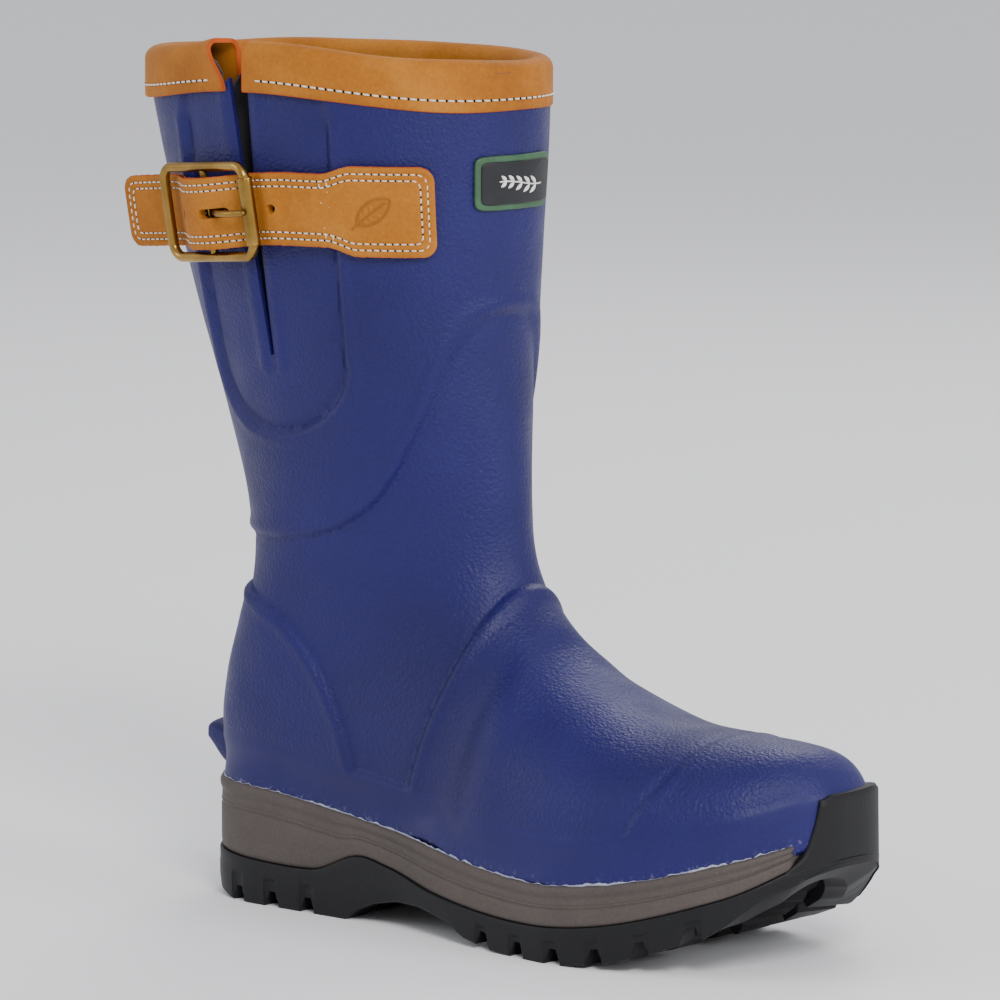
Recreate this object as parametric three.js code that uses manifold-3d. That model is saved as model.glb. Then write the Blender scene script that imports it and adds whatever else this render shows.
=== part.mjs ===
// A right-foot rubber riding boot: moulded shell with raised panels, textile lining, leather collar,
// side gusset with a buckled leather strap, and a two-part sole. Millimetres, +X toe, +Y inner side
// of the foot, +Z up. It is modelled from the back of the heel and centred on its footprint at the end.
import * as THREE from "three";
import { mergeVertices } from "three/addons/utils/BufferGeometryUtils.js";
import Module from "manifold-3d";

const wasm = await Module();
wasm.setup();

// Driving sizes of the sole
const SOLE_LENGTH = 268;
const HEEL_WIDTH = 72;
const WAIST_WIDTH = 71;
const BALL_WIDTH = 102;
const BALL_SHARE = 0.6549;
const BALL_X = BALL_SHARE * SOLE_LENGTH;
const HEEL_OVERHANG = 2.2;
const TOE_SHIFT = 5;
const UPPER_INSET = 4.5;
const MIDSOLE_INSET = 0.8;
const LUG_DEPTH = 4.5;
const LUG_SLOT = 4;
const LUG_PITCH = 17;
const LUG_REACH = 14;
const TREAD_CHANNEL = 3;
const BUMPER_HEIGHT = 62;

// Driving sizes of the upper
const BOOT_HEIGHT = 303.5;
const RIM_PEAK = 5.8;
const RIM_PEAK_X = 50;
const RIM_PEAK_SPAN = 78;
const ANKLE_HEIGHT = 106;
const ANKLE_SHARE = 0.4515;
const ANKLE_FRONT = ANKLE_SHARE * SOLE_LENGTH;
const ANKLE_BACK = 15;
const ANKLE_WIDTH = 68;
const CALF_DEPTH = 158;
const CALF_WIDTH = 108;
const CALF_SETBACK = 33.2;

// Walls and clearance
const GAP = 0.3;
const SHELL_WALL = 2.2;
const LINING_WALL = 3;
const PANEL_THICK = 1.1;
const FOXING_THICK = 1.7;
const FOXING_HEIGHT = 16;
const BOARD_THICK = 2;
const FOOTBED_THICK = 5;
const SHANK_LENGTH = 96;
const SHANK_WIDTH = 13;
const SHANK_THICK = 1.6;
const SHANK_DROP = 1.6;

// Collar, slit and gusset
const COLLAR_LEATHER = 1.6;
const COLLAR_DROP = 17.7;
const COLLAR_OPENING = 9;
const SLIT_TOP_X = 41.5;
const SLIT_FOOT_X = 49.5;
const SLIT_LENGTH = 106;
const SLIT_TOP_WIDTH = 8;
const SLIT_FOOT_WIDTH = 1.6;
const GUSSET_THICK = 1.5;
const GUSSET_MARGIN = 8;

// Strap, buckle and label
const STRAP_DROP = 51.4;
const STRAP_WIDTH = 25;
const PLY_THICK = 1.3;
const HOLE_PITCH = 20;
const HOLE_RADIUS = 2;
const TAB_ALLOWANCE = 6;
const TAB_HEIGHT = STRAP_WIDTH + TAB_ALLOWANCE;
const TAB_FRONT = 34.5;
const TAB_NECK = 60;
const TAB_BACK = 70;
const BUCKLE_ANGLE = 106.5;
const BUCKLE_TURN = 5;
const BUCKLE_SAG = 2.5;
const FREE_END = 52.5;
const BUCKLE_LENGTH = 51;
const BUCKLE_ALLOWANCE = 11;
const BUCKLE_HEIGHT = STRAP_WIDTH + BUCKLE_ALLOWANCE;
const BUCKLE_CORNER = 5;
const WIRE_RADIUS = 2;
const CENTRE_BAR_RADIUS = 1.3;
const ROLLER_BAR_RADIUS = 1.3;
const ROLLER_WALL = 0.9;
const ROLLER_ALLOWANCE = 1;
const ROLLER_LENGTH = STRAP_WIDTH - ROLLER_ALLOWANCE;
const PRONG_RADIUS = 1.2;
const PRONG_EYE_WALL = 1;
const CHAPE_THICK = 1.1;
const CHAPE_ALLOWANCE = 3;
const CHAPE_WIDTH = STRAP_WIDTH - CHAPE_ALLOWANCE;
const BAR_STANDOFF = 6.4;
const LABEL_LENGTH = 35;
const LABEL_HEIGHT = 19;
const LABEL_THICK = 1.2;
const LABEL_BORDER = 2;
const LABEL_DROP = 42.2;
const SPUR_REACH = 9;
const SPUR_WIDTH = 40;
const SPUR_HEIGHT = 15;
const SPUR_TAPER = 6;

// Mesh density of the moulded form
const AROUND = 24;
const ALONG = 24;
const OVER = 30;

const rad = THREE.MathUtils.degToRad;
const along = (share) => share * SOLE_LENGTH;

// A smooth line through points [t, value], as a function of t.
function smoothLine(points) {
  const last = points.length - 1;
  const slope = points.map((point, i) => {
    const before = points[Math.max(0, i - 1)];
    const after = points[Math.min(last, i + 1)];
    return (after[1] - before[1]) / (after[0] - before[0]);
  });
  return (t) => {
    if (t <= points[0][0]) return points[0][1];
    if (t >= points[last][0]) return points[last][1];
    let i = 0;
    while (t > points[i + 1][0]) i += 1;
    const span = points[i + 1][0] - points[i][0];
    const u = (t - points[i][0]) / span;
    const start = points[i][1] * (1 + 2 * u) * (1 - u) ** 2 + slope[i] * span * u * (1 - u) ** 2;
    const end = points[i + 1][1] * u * u * (3 - 2 * u) + slope[i + 1] * span * u * u * (u - 1);
    return start + end;
  };
}

// The sole reaches from just behind the upper's heel to its own tip.
const SOLE_TIP = SOLE_LENGTH - HEEL_OVERHANG;

// Half width of the sole at x: side is -1 for the outer edge and 1 for the inner edge.
function soleHalf(x, side) {
  const heel = HEEL_WIDTH / 2;
  const ball = BALL_WIDTH / 2;
  const waist = WAIST_WIDTH / 2 + (side < 0 ? 2.5 : -2.5);
  const round = (u, power) => Math.max(0, 1 - u ** power) ** (1 / power);
  const heelX = heel - HEEL_OVERHANG;
  if (x < heelX) return heel * round((heelX - x) / heel, 2.3);
  if (x > BALL_X) return ball * round((x - BALL_X) / (SOLE_TIP - BALL_X), side < 0 ? 2.15 : 2.7);
  return smoothLine([
    [heelX, heel],
    [along(0.36), waist],
    [along(0.5), (waist + ball) / 2 + 1],
    [BALL_X, ball],
  ])(x);
}

// The toe leans to the inner side by TOE_SHIFT at the tip.
function soleCentre(x) {
  const u = THREE.MathUtils.clamp((x - BALL_X) / (SOLE_TIP - BALL_X), 0, 1);
  return TOE_SHIFT * u * u;
}

// Heights along the boot, seen from the side
const bedLine = smoothLine([
  [0, 38],
  [along(0.1), 35],
  [along(0.3), 30],
  [along(0.5), 23],
  [along(0.66), 20],
  [along(0.8), 24],
  [along(0.92), 33],
  [along(1), 44],
]);
const topLine = smoothLine([
  [along(0.52), 103],
  [along(0.625), 85.5],
  [along(0.7), 78.7],
  [along(0.79), 76],
  [along(0.9), 74.5],
  [along(1), 73],
]);
const midsoleTop = smoothLine([
  [0, 43.5],
  [along(0.15), 41.7],
  [along(0.34), 35.6],
  [along(0.61), 27],
  [along(0.76), 30],
  [along(0.92), 40.6],
  [along(1), 49],
]);
const outsoleTop = smoothLine([
  [0, 17.7],
  [along(0.22), 15.9],
  [along(0.3), 23.2],
  [along(0.36), 21.2],
  [along(0.45), 15.9],
  [along(0.61), 12.2],
  [along(0.75), 15.4],
  [along(0.9), 27],
  [along(0.96), 36],
  [along(1), 47],
]);
const foxingTop = (x) => midsoleTop(x) + FOXING_HEIGHT;

// Rows of the upper. Each row is one closed section that runs from a point on the front or top of
// the boot to a point on its back or underside, so the rows fan round the ankle.
const TIP_X = SOLE_TIP - UPPER_INSET;
const TIP_Z = 53;
const SHIN_X = CALF_DEPTH - CALF_SETBACK;
const rise = (share) => ANKLE_HEIGHT + share * (BOOT_HEIGHT - ANKLE_HEIGHT);
const forward = (share) => ANKLE_FRONT + share * (SHIN_X - ANKLE_FRONT);
const backward = (share) => ANKLE_BACK - share * (ANKLE_BACK + CALF_SETBACK);
const spread = (share) => ANKLE_WIDTH / 2 + (share * (CALF_WIDTH - ANKLE_WIDTH)) / 2;

function toeRow(degrees) {
  const reach = TIP_X - BALL_X;
  const x = TIP_X - (1 - Math.cos(rad(degrees))) * reach;
  const soleX = BALL_X + ((x - BALL_X) * (SOLE_TIP - BALL_X)) / reach;
  const inset = 1 - UPPER_INSET / (BALL_WIDTH / 2);
  const closing = (power, length) => (1 - Math.max(0, 1 - (TIP_X - x) / length) ** power) ** (1 / power);
  return {
    top: [x, TIP_Z + (topLine(x) - TIP_Z) * closing(2.5, 20)],
    low: [x, TIP_Z + (bedLine(x) - TIP_Z) * closing(2.2, 30)],
    half: [soleHalf(soleX, -1) * inset, soleHalf(soleX, 1) * inset],
    shift: soleCentre(x),
    widest: 0.36,
    lowCorner: 3,
    topCorner: 2.2,
  };
}

function footRow(share) {
  const x = along(share);
  return {
    top: [x, topLine(x)],
    low: [along(1.6 * share - 0.372), bedLine(x)],
    half: [soleHalf(x, -1) - UPPER_INSET, soleHalf(x, 1) - UPPER_INSET],
    shift: 0,
    widest: 0.36,
    lowCorner: 3,
    topCorner: 2.1,
  };
}

function legRow(top, low, half, widest, lowCorner) {
  return { top, low, half, shift: 0, widest, lowCorner, topCorner: 2.1 };
}

const even = (share) => [spread(share), spread(share)];
const rows = [
  ...[0, 5, 11, 19, 30, 44, 62, 80].map(toeRow),
  ...[0.6, 0.55].map(footRow),
  legRow([ANKLE_FRONT + 20, ANKLE_HEIGHT], [along(0.418), bedLine(along(0.418))], [35, 32.5], 0.33, 3),
  legRow([ANKLE_FRONT + 12, rise(0.046)], [along(0.3), bedLine(along(0.3))], even(0), 0.33, 3),
  legRow([ANKLE_FRONT + 7, rise(0.103)], [along(0.168), bedLine(along(0.168))], even(0), 0.34, 3),
  legRow([ANKLE_FRONT + 5, rise(0.154)], [14, 39], even(0.025), 0.35, 2.9),
  legRow([ANKLE_FRONT + 4, rise(0.21)], [2.5, 54], even(0.075), 0.37, 2.7),
  legRow([ANKLE_FRONT + 3, rise(0.267)], [3.5, 74], even(0.125), 0.4, 2.6),
  legRow([ANKLE_FRONT + 2, rise(0.323)], [9, 94], even(0.2), 0.42, 2.4),
  legRow([ANKLE_FRONT + 1, rise(0.39)], [ANKLE_BACK, rise(0.046)], even(0.275), 0.45, 2.3),
  legRow([forward(0), rise(0.467)], [backward(0.02), rise(0.174)], even(0.375), 0.47, 2.2),
  legRow([forward(0), rise(0.564)], [backward(0.234), rise(0.338)], even(0.525), 0.5, 2.1),
  legRow([forward(0.3), rise(0.697)], [backward(0.53), rise(0.554)], even(0.725), 0.5, 2.1),
  legRow([forward(0.7), rise(0.841)], [backward(0.787), rise(0.774)], even(0.9), 0.5, 2.1),
  legRow([forward(1), rise(1)], [backward(1), rise(1)], even(1), 0.5, 2.1),
];
const LAST_ROW = rows.length - 1;
const column = (pick) => smoothLine(rows.map((row, i) => [i, pick(row)]));
const form = {
  topX: column((row) => row.top[0]),
  topZ: column((row) => row.top[1]),
  lowX: column((row) => row.low[0]),
  lowZ: column((row) => row.low[1]),
  outer: column((row) => row.half[0]),
  inner: column((row) => row.half[1]),
  shift: column((row) => row.shift),
  widest: column((row) => row.widest),
  lowCorner: column((row) => row.lowCorner),
  topCorner: column((row) => row.topCorner),
};

// A point of the upper's outer face. Angle 0 is the back or underside, half a turn is the front or
// top, and the outer side of the foot lies past half a turn.
function formPoint(s, angle) {
  const cosine = Math.cos(angle);
  const sine = Math.sin(angle);
  const widest = form.widest(s);
  const corner = cosine > 0 ? form.lowCorner(s) : form.topCorner(s);
  const up = Math.abs(cosine) ** (2 / corner);
  const out = Math.abs(sine) ** (2 / corner);
  const t = cosine > 0 ? widest * (1 - up) : widest + (1 - widest) * up;
  return new THREE.Vector3(
    form.lowX(s) + (form.topX(s) - form.lowX(s)) * t,
    form.shift(s) + (sine >= 0 ? form.inner(s) * out : -form.outer(s) * out),
    form.lowZ(s) + (form.topZ(s) - form.lowZ(s)) * t,
  );
}

function formNormal(s, angle) {
  const step = 0.02;
  const back = formPoint(Math.max(0, s - step), angle);
  const lengthwise = formPoint(Math.min(LAST_ROW, s + step), angle).sub(back);
  const round = formPoint(s, angle + step).sub(formPoint(s, angle - step));
  return lengthwise.cross(round).normalize();
}

function indexedGeometry(vertices, faces) {
  const geometry = new THREE.BufferGeometry();
  geometry.setAttribute("position", new THREE.BufferAttribute(new Float32Array(vertices), 3));
  return geometry.setIndex(faces);
}

// The closed form, grown by an offset, and carried on straight up above the rim.
function formGeometry(offset) {
  const vertices = [TIP_X + offset, TOE_SHIFT, TIP_Z];
  for (let i = 1; i <= ALONG + 1; i += 1) {
    const s = (Math.min(i, ALONG) / ALONG) * LAST_ROW;
    for (let j = 0; j < AROUND; j += 1) {
      const angle = ((j + 0.5) / AROUND) * 2 * Math.PI;
      const point = formPoint(s, angle).addScaledVector(formNormal(s, angle), offset);
      vertices.push(point.x, point.y, i > ALONG ? BOOT_HEIGHT + OVER : point.z);
    }
  }
  const at = (i, j) => 1 + (i - 1) * AROUND + (j % AROUND);
  const faces = [];
  for (let j = 0; j < AROUND; j += 1) {
    faces.push(0, at(1, j), at(1, j + 1));
    for (let i = 1; i <= ALONG; i += 1) {
      faces.push(at(i, j), at(i + 1, j + 1), at(i, j + 1));
      faces.push(at(i, j), at(i + 1, j), at(i + 1, j + 1));
    }
  }
  for (let j = 1; j < AROUND - 1; j += 1) {
    faces.push(at(ALONG + 1, 0), at(ALONG + 1, j + 1), at(ALONG + 1, j));
  }
  return indexedGeometry(vertices, faces);
}

function solidOf(geometry) {
  const bare = geometry.clone();
  bare.deleteAttribute("normal");
  bare.deleteAttribute("uv");
  const merged = mergeVertices(bare, 1e-4);
  return new wasm.Manifold(
    new wasm.Mesh({
      numProp: 3,
      vertProperties: new Float32Array(merged.attributes.position.array),
      triVerts: new Uint32Array(merged.index.array),
    }),
  );
}

function geometryOf(solid) {
  const mesh = solid.getMesh();
  const geometry = indexedGeometry(mesh.vertProperties, Array.from(mesh.triVerts));
  geometry.computeVertexNormals();
  return geometry;
}

const grown = new Map();
function formSolid(offset) {
  if (!grown.has(offset)) grown.set(offset, solidOf(formGeometry(offset)));
  return grown.get(offset);
}

// The layer of the upper between two offsets, the outer one first.
const layer = (outside, inside) => formSolid(outside).subtract(formSolid(inside));

function boxSolid(x0, x1, y0, y1, z0, z1) {
  const box = new THREE.BoxGeometry(x1 - x0, y1 - y0, z1 - z0);
  return solidOf(box.translate((x0 + x1) / 2, (y0 + y1) / 2, (z0 + z1) / 2));
}

const FAR = 400;

const shapeOf = (points) => new THREE.Shape(points.map(([x, y]) => new THREE.Vector2(x, y)));

// A side view outline [x, z] carried through the boot from y0 to y1.
function sideSolid(points, y0 = -FAR, y1 = FAR) {
  const geometry = new THREE.ExtrudeGeometry(shapeOf(points), { depth: y1 - y0, bevelEnabled: false });
  return solidOf(geometry.rotateX(Math.PI / 2).translate(0, y1, 0));
}

// Points along a height line from x0 to x1, raised by lift.
function linePoints(line, x0, x1, steps, lift = 0) {
  return Array.from({ length: steps + 1 }, (_, i) => {
    const x = x0 + ((x1 - x0) * i) / steps;
    return [x, line(x) + lift];
  });
}

// A smooth open curve through a few points [x, z].
function curvePoints(points, steps) {
  const curve = new THREE.SplineCurve(points.map(([x, z]) => new THREE.Vector2(x, z)));
  return curve.getPoints(steps).map((point) => [point.x, point.y]);
}

// The sole's outline in plan, drawn in by an inset, from z0 to z1.
function planSolid(inset, z0, z1) {
  const steps = 18;
  const half = SOLE_LENGTH / 2;
  const middle = half - HEEL_OVERHANG;
  const shrink = 1 - inset / half;
  const edge = (side) =>
    Array.from({ length: steps + 1 }, (_, i) => {
      const x = middle - half * Math.cos((Math.PI * i) / steps);
      const y = soleCentre(x) + side * Math.max(0, soleHalf(x, side) * (1 - inset / (BALL_WIDTH / 2)));
      return [middle + (x - middle) * shrink, y];
    });
  const outline = [...edge(-1), ...edge(1).reverse().slice(1, -1)];
  const geometry = new THREE.ExtrudeGeometry(shapeOf(outline), { depth: z1 - z0, bevelEnabled: false });
  return solidOf(geometry.translate(0, 0, z0));
}

// The rim is level on the inner side and rises towards the slit on the outer side.
function rimLine(x) {
  const u = THREE.MathUtils.clamp((x - RIM_PEAK_X) / RIM_PEAK_SPAN, -1, 1);
  return BOOT_HEIGHT + RIM_PEAK * Math.cos((Math.PI / 2) * u) ** 2;
}

// Everything lower than the rim by more than a drop.
function underRim(drop) {
  const outer = linePoints(rimLine, RIM_PEAK_X - RIM_PEAK_SPAN, RIM_PEAK_X + RIM_PEAK_SPAN, 16, -drop);
  const foot = [[FAR, -20], [FAR, BOOT_HEIGHT - drop]];
  const back = [[-FAR, BOOT_HEIGHT - drop], [-FAR, -20]];
  const outerSide = sideSolid([...foot, ...outer.reverse(), ...back], -FAR, 0);
  return outerSide.add(sideSolid([...foot, ...back], 0, FAR));
}

// ---- Slit on the outer side, with a straight centre line that leans forward as it goes down ----
const RIM_DROP = COLLAR_LEATHER + GAP;
const SLIT_FOOT_Z = BOOT_HEIGHT - SLIT_LENGTH;

function slitSolid(margin) {
  const overX = SLIT_TOP_X - ((SLIT_FOOT_X - SLIT_TOP_X) * OVER) / SLIT_LENGTH;
  const top = SLIT_TOP_WIDTH / 2 + margin;
  const foot = SLIT_FOOT_WIDTH / 2 + margin;
  const outline = [
    [SLIT_FOOT_X - foot, SLIT_FOOT_Z - margin],
    [SLIT_FOOT_X + foot, SLIT_FOOT_Z - margin],
    [overX + top, BOOT_HEIGHT + OVER],
    [overX - top, BOOT_HEIGHT + OVER],
  ];
  return sideSolid(outline, -FAR, 0);
}

// ---- Upper ----
const LINING_OUT = -(SHELL_WALL + GAP);
const LINING_IN = LINING_OUT - LINING_WALL;

const makeShell = () =>
  layer(0, -SHELL_WALL).intersect(underRim(RIM_DROP)).subtract(slitSolid(0));

const makeLining = () =>
  layer(LINING_OUT, LINING_IN).intersect(underRim(RIM_DROP)).subtract(slitSolid(GUSSET_MARGIN + GAP));

const makeGusset = () =>
  layer(LINING_OUT, LINING_OUT - GUSSET_THICK)
    .intersect(underRim(RIM_DROP))
    .intersect(slitSolid(GUSSET_MARGIN));

function makeCollar() {
  const fold = layer(GAP + COLLAR_LEATHER, LINING_IN - GAP - COLLAR_LEATHER);
  const pocket = layer(GAP, LINING_IN - GAP).intersect(underRim(COLLAR_LEATHER));
  const widening = (COLLAR_OPENING - SLIT_TOP_WIDTH) / 2;
  return fold
    .intersect(underRim(0))
    .subtract(underRim(COLLAR_DROP))
    .subtract(pocket)
    .subtract(slitSolid(widening));
}

// ---- Raised panels on the shell ----
const PANEL_IN = GAP;
const PANEL_OUT = GAP + PANEL_THICK;
const panel = (outline) => layer(PANEL_OUT, PANEL_IN).intersect(sideSolid(outline));

// The leg panel ends at a line that falls from the shin to the back of the ankle, and it leaves a
// round-ended window about the slit.
function makeLegPanel() {
  const fall = curvePoints(
    [
      [-60, rise(0.12)],
      [ANKLE_BACK, rise(0.135)],
      [62, rise(0.15)],
      [88, rise(0.215)],
      [104, rise(0.345)],
      [115, rise(0.5)],
      [ANKLE_FRONT + 4, rise(0.565)],
      [160, rise(0.58)],
    ],
    28,
  );
  const top = BOOT_HEIGHT + OVER;
  return panel([...fall, [220, top], [-120, top]])
    .intersect(underRim(COLLAR_DROP + GAP))
    .subtract(windowSolid());
}

const WINDOW_REACH = 31.5;
const WINDOW_DEPTH = 25;

const WINDOW_LEAN = 0.4;
const WINDOW_SPREAD = 6;
function windowSolid() {
  const centreZ = SLIT_FOOT_Z;
  const foot = Array.from({ length: 13 }, (_, i) => {
    const angle = Math.PI + (Math.PI * i) / 12;
    return [SLIT_FOOT_X + WINDOW_REACH * Math.cos(angle), centreZ + WINDOW_DEPTH * Math.sin(angle)];
  });
  const lean = (SLIT_TOP_X - SLIT_FOOT_X) * WINDOW_LEAN;
  const topZ = BOOT_HEIGHT + OVER;
  const outline = [
    ...foot,
    [SLIT_FOOT_X + lean + WINDOW_REACH, topZ],
    [SLIT_FOOT_X + lean - WINDOW_REACH - WINDOW_SPREAD, topZ],
  ];
  return sideSolid(outline, -FAR, 0);
}

// Everything above the foxing, so the panels stop just over it.
const aboveFoxing = () =>
  sideSolid([...linePoints(foxingTop, -60, SOLE_LENGTH + 40, 24, GAP), [SOLE_LENGTH + 40, FAR], [-60, FAR]]);

const TOE_LINE = [
  [along(0.77), 30],
  [along(0.775), 49],
  [along(0.795), 59],
  [along(0.81), 67],
  [along(0.817), 80],
];
const VAMP_LINE = [
  [along(0.375), 20],
  [along(0.385), 49],
  [along(0.4), 63],
  [along(0.417), 76],
  [along(0.444), rise(-0.06)],
  [along(0.47), rise(0.03)],
  [ANKLE_FRONT + 12, rise(0.08)],
  [ANKLE_FRONT + 34, rise(0.09)],
];
const COUNTER_LINE = [
  [-30, rise(0.05)],
  [ANKLE_BACK, rise(0.047)],
  [40, rise(0.012)],
  [54, rise(-0.04)],
  [66, 82],
  [74, 66],
  [79, 46],
  [80, 20],
];

function makeToeCap() {
  const line = curvePoints(TOE_LINE, 12).map(([x, z]) => [x + GAP, z]);
  return panel([...line, [SOLE_LENGTH + 20, 90], [SOLE_LENGTH + 20, 20]]).intersect(aboveFoxing());
}

function makeVampPanel() {
  const back = curvePoints(VAMP_LINE, 20);
  const front = curvePoints(TOE_LINE, 12).map(([x, z]) => [x - GAP, z]);
  const outline = [...front, [along(0.817), rise(0.09)], ...back.reverse()];
  return panel(outline).intersect(aboveFoxing());
}

function makeHeelCounter() {
  const outline = [[-30, 20], [80, 20], ...curvePoints(COUNTER_LINE, 20).reverse()];
  return panel(outline).intersect(aboveFoxing());
}

// The toe bumper's edge, seen from the side
const BUMPER_X = along(0.96);
const BUMPER_LINE = [
  [BUMPER_X, outsoleTop(BUMPER_X)],
  [along(0.974), 41],
  [along(0.981), 49],
  [along(0.985), BUMPER_HEIGHT - 2],
];
const bumperFront = [
  [SOLE_LENGTH + 30, BUMPER_HEIGHT],
  [SOLE_LENGTH + 30, -20],
];

const bumperSolid = (clearance) =>
  sideSolid([
    [BUMPER_X - clearance, 0],
    ...curvePoints(BUMPER_LINE, 8).map(([x, z]) => [x - clearance, z + clearance]),
    ...bumperFront.map(([x, z]) => [x, z + (z > 0 ? clearance : 0)]),
    [BUMPER_X - clearance, -20],
  ]);

// The line where midsole and upper meet. Both are cut along the same points.
const jointLine = (lift) => linePoints(midsoleTop, -60, SOLE_LENGTH + 40, 48, lift);

function makeFoxing() {
  const low = jointLine(GAP);
  const high = linePoints(foxingTop, -60, SOLE_LENGTH + 40, 24);
  const band = sideSolid([...low, ...high.reverse()]);
  return layer(GAP + FOXING_THICK, GAP).intersect(band).subtract(bumperSolid(GAP));
}

// The spur that a boot jack or the other foot holds while the boot is pulled off.
function makeKickSpur() {
  const foot = midsoleTop(0) + GAP;
  const outline = [
    [-SPUR_REACH, foot + 3],
    [-SPUR_REACH + 3, foot],
    [22, foot],
    [22, foot + SPUR_HEIGHT],
    [-SPUR_REACH + 4, foot + SPUR_HEIGHT + 2],
    [-SPUR_REACH, foot + SPUR_HEIGHT - 1],
  ];
  const wedge = shapeOf([
    [-SPUR_REACH - 1, -SPUR_WIDTH / 2 + SPUR_TAPER],
    [4, -SPUR_WIDTH / 2],
    [22, -SPUR_WIDTH / 2],
    [22, SPUR_WIDTH / 2],
    [4, SPUR_WIDTH / 2],
    [-SPUR_REACH - 1, SPUR_WIDTH / 2 - SPUR_TAPER],
  ]);
  const plan = solidOf(new THREE.ExtrudeGeometry(wedge, { depth: FAR, bevelEnabled: false }));
  return sideSolid(outline).intersect(plan).subtract(formSolid(2 * GAP + FOXING_THICK));
}

// ---- Inside the foot ----
// A plate that lies on the lining's floor, between two heights above the bed line.
function floorPlate(low, high) {
  const x0 = 2;
  const x1 = SOLE_LENGTH - 6;
  const floor = linePoints(bedLine, x0, x1, 16, low);
  const ceiling = linePoints(bedLine, x0, x1, 16, high);
  const outline = [...floor, ...ceiling.reverse()];
  return formSolid(LINING_IN - GAP).intersect(sideSolid(outline));
}

const BOARD_LOW = -LINING_IN + GAP;
const FOOTBED_LOW = BOARD_LOW + BOARD_THICK + GAP;
const makeInsoleBoard = () => floorPlate(BOARD_LOW, BOARD_LOW + BOARD_THICK);
const makeFootbed = () => floorPlate(FOOTBED_LOW, FOOTBED_LOW + FOOTBED_THICK);

// ---- Sole ----
// The line where midsole and outsole meet, up to the toe bumper.
const partingLine = (lift) => linePoints(outsoleTop, -5, BUMPER_X, 30, lift);

const SHANK_START = along(0.2);

function shankBar(clearance) {
  const x0 = SHANK_START - clearance;
  const x1 = SHANK_START + SHANK_LENGTH + clearance;
  const top = linePoints(bedLine, x0, x1, 8, clearance - SHANK_DROP);
  const low = linePoints(bedLine, x0, x1, 8, -SHANK_DROP - SHANK_THICK - clearance);
  const half = SHANK_WIDTH / 2 + clearance;
  return sideSolid([...low, ...top.reverse()], -half, half);
}

// The shank lies in a pocket that is open to the shell above it.
const shankPocket = () => shankBar(GAP).add(shankBar(0).translate(0, 0, SHANK_DROP));

function makeMidsole() {
  const wall = sideSolid([
    ...partingLine(GAP),
    [SOLE_LENGTH + 40, outsoleTop(BUMPER_X) + GAP],
    ...jointLine(0).reverse(),
  ]);
  return planSolid(MIDSOLE_INSET, 0, 80)
    .intersect(wall)
    .subtract(bumperSolid(GAP))
    .subtract(formSolid(GAP))
    .subtract(shankPocket());
}

const outsoleLow = [
  [-5, 9],
  [3, 5],
  [10, 2],
  [20, 0],
  [along(0.28), 0],
  [along(0.3), 4],
  [along(0.33), 7.2],
  [along(0.375), 9.7],
  [along(0.42), 9.7],
  [along(0.48), 7],
  [along(0.51), 3],
  [along(0.56), 0.6],
  [along(0.6), 0],
  [along(0.7), 0],
  [along(0.755), 2.5],
  [along(0.81), 6.4],
  [along(0.87), 12.6],
  [along(0.93), 18.2],
  [along(0.97), 24.5],
  [along(1), 33],
  [SOLE_LENGTH + 5, 40],
];

// Height of the tread at x, straight from point to point.
function treadHeight(x) {
  const i = Math.max(1, outsoleLow.findIndex(([px]) => px >= x));
  const [x0, z0] = outsoleLow[i - 1];
  const [x1, z1] = outsoleLow[i];
  return z0 + ((z1 - z0) * (x - x0)) / (x1 - x0);
}

function treadCuts() {
  const heelSlots = [0, 1, 2].map((i) => 23 + i * LUG_PITCH);
  const foreSlots = [0, 1, 2, 3, 4, 5].map((i) => BALL_X - 28 + i * LUG_PITCH);
  const cuts = [...heelSlots, ...foreSlots].flatMap((x) =>
    [-1, 1].map((side) => {
      const top = treadHeight(x) + LUG_DEPTH;
      const inner = side < 0 ? -FAR : LUG_REACH;
      const outer = side < 0 ? -LUG_REACH : FAR;
      return boxSolid(x - LUG_SLOT / 2, x + LUG_SLOT / 2, inner, outer, -20, top);
    }),
  );
  const channel = linePoints(treadHeight, 10, SOLE_LENGTH - 20, 40, LUG_DEPTH / 2);
  const half = TREAD_CHANNEL / 2;
  cuts.push(sideSolid([...channel, [SOLE_LENGTH - 20, -20], [10, -20]], -half, half));
  return cuts.reduce((all, cut) => all.add(cut));
}

function makeOutsole() {
  const base = sideSolid([...outsoleLow, [SOLE_LENGTH + 5, 50], ...partingLine(0).reverse()]);
  const ahead = SOLE_LENGTH + 40;
  const ground = sideSolid([...outsoleLow, [ahead, 45], [ahead, -30], [-5, -30]]);
  const bumper = bumperSolid(0).subtract(ground);
  return planSolid(0, -1, 80)
    .intersect(base.add(bumper))
    .subtract(formSolid(GAP))
    .subtract(treadCuts());
}

// ---- Things that wrap round the leg ----
// The point of the shell at a height, at degrees round from the front towards the outer side.
function legPoint(degrees, z) {
  const angle = Math.PI + rad(degrees);
  let low = 0;
  let high = LAST_ROW;
  for (let i = 0; i < 40; i += 1) {
    const middle = (low + high) / 2;
    if (formPoint(middle, angle).z < z) low = middle;
    else high = middle;
  }
  const s = Math.min(high, LAST_ROW - 0.03);
  return { point: formPoint(high, angle), normal: formNormal(s, angle) };
}

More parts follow.
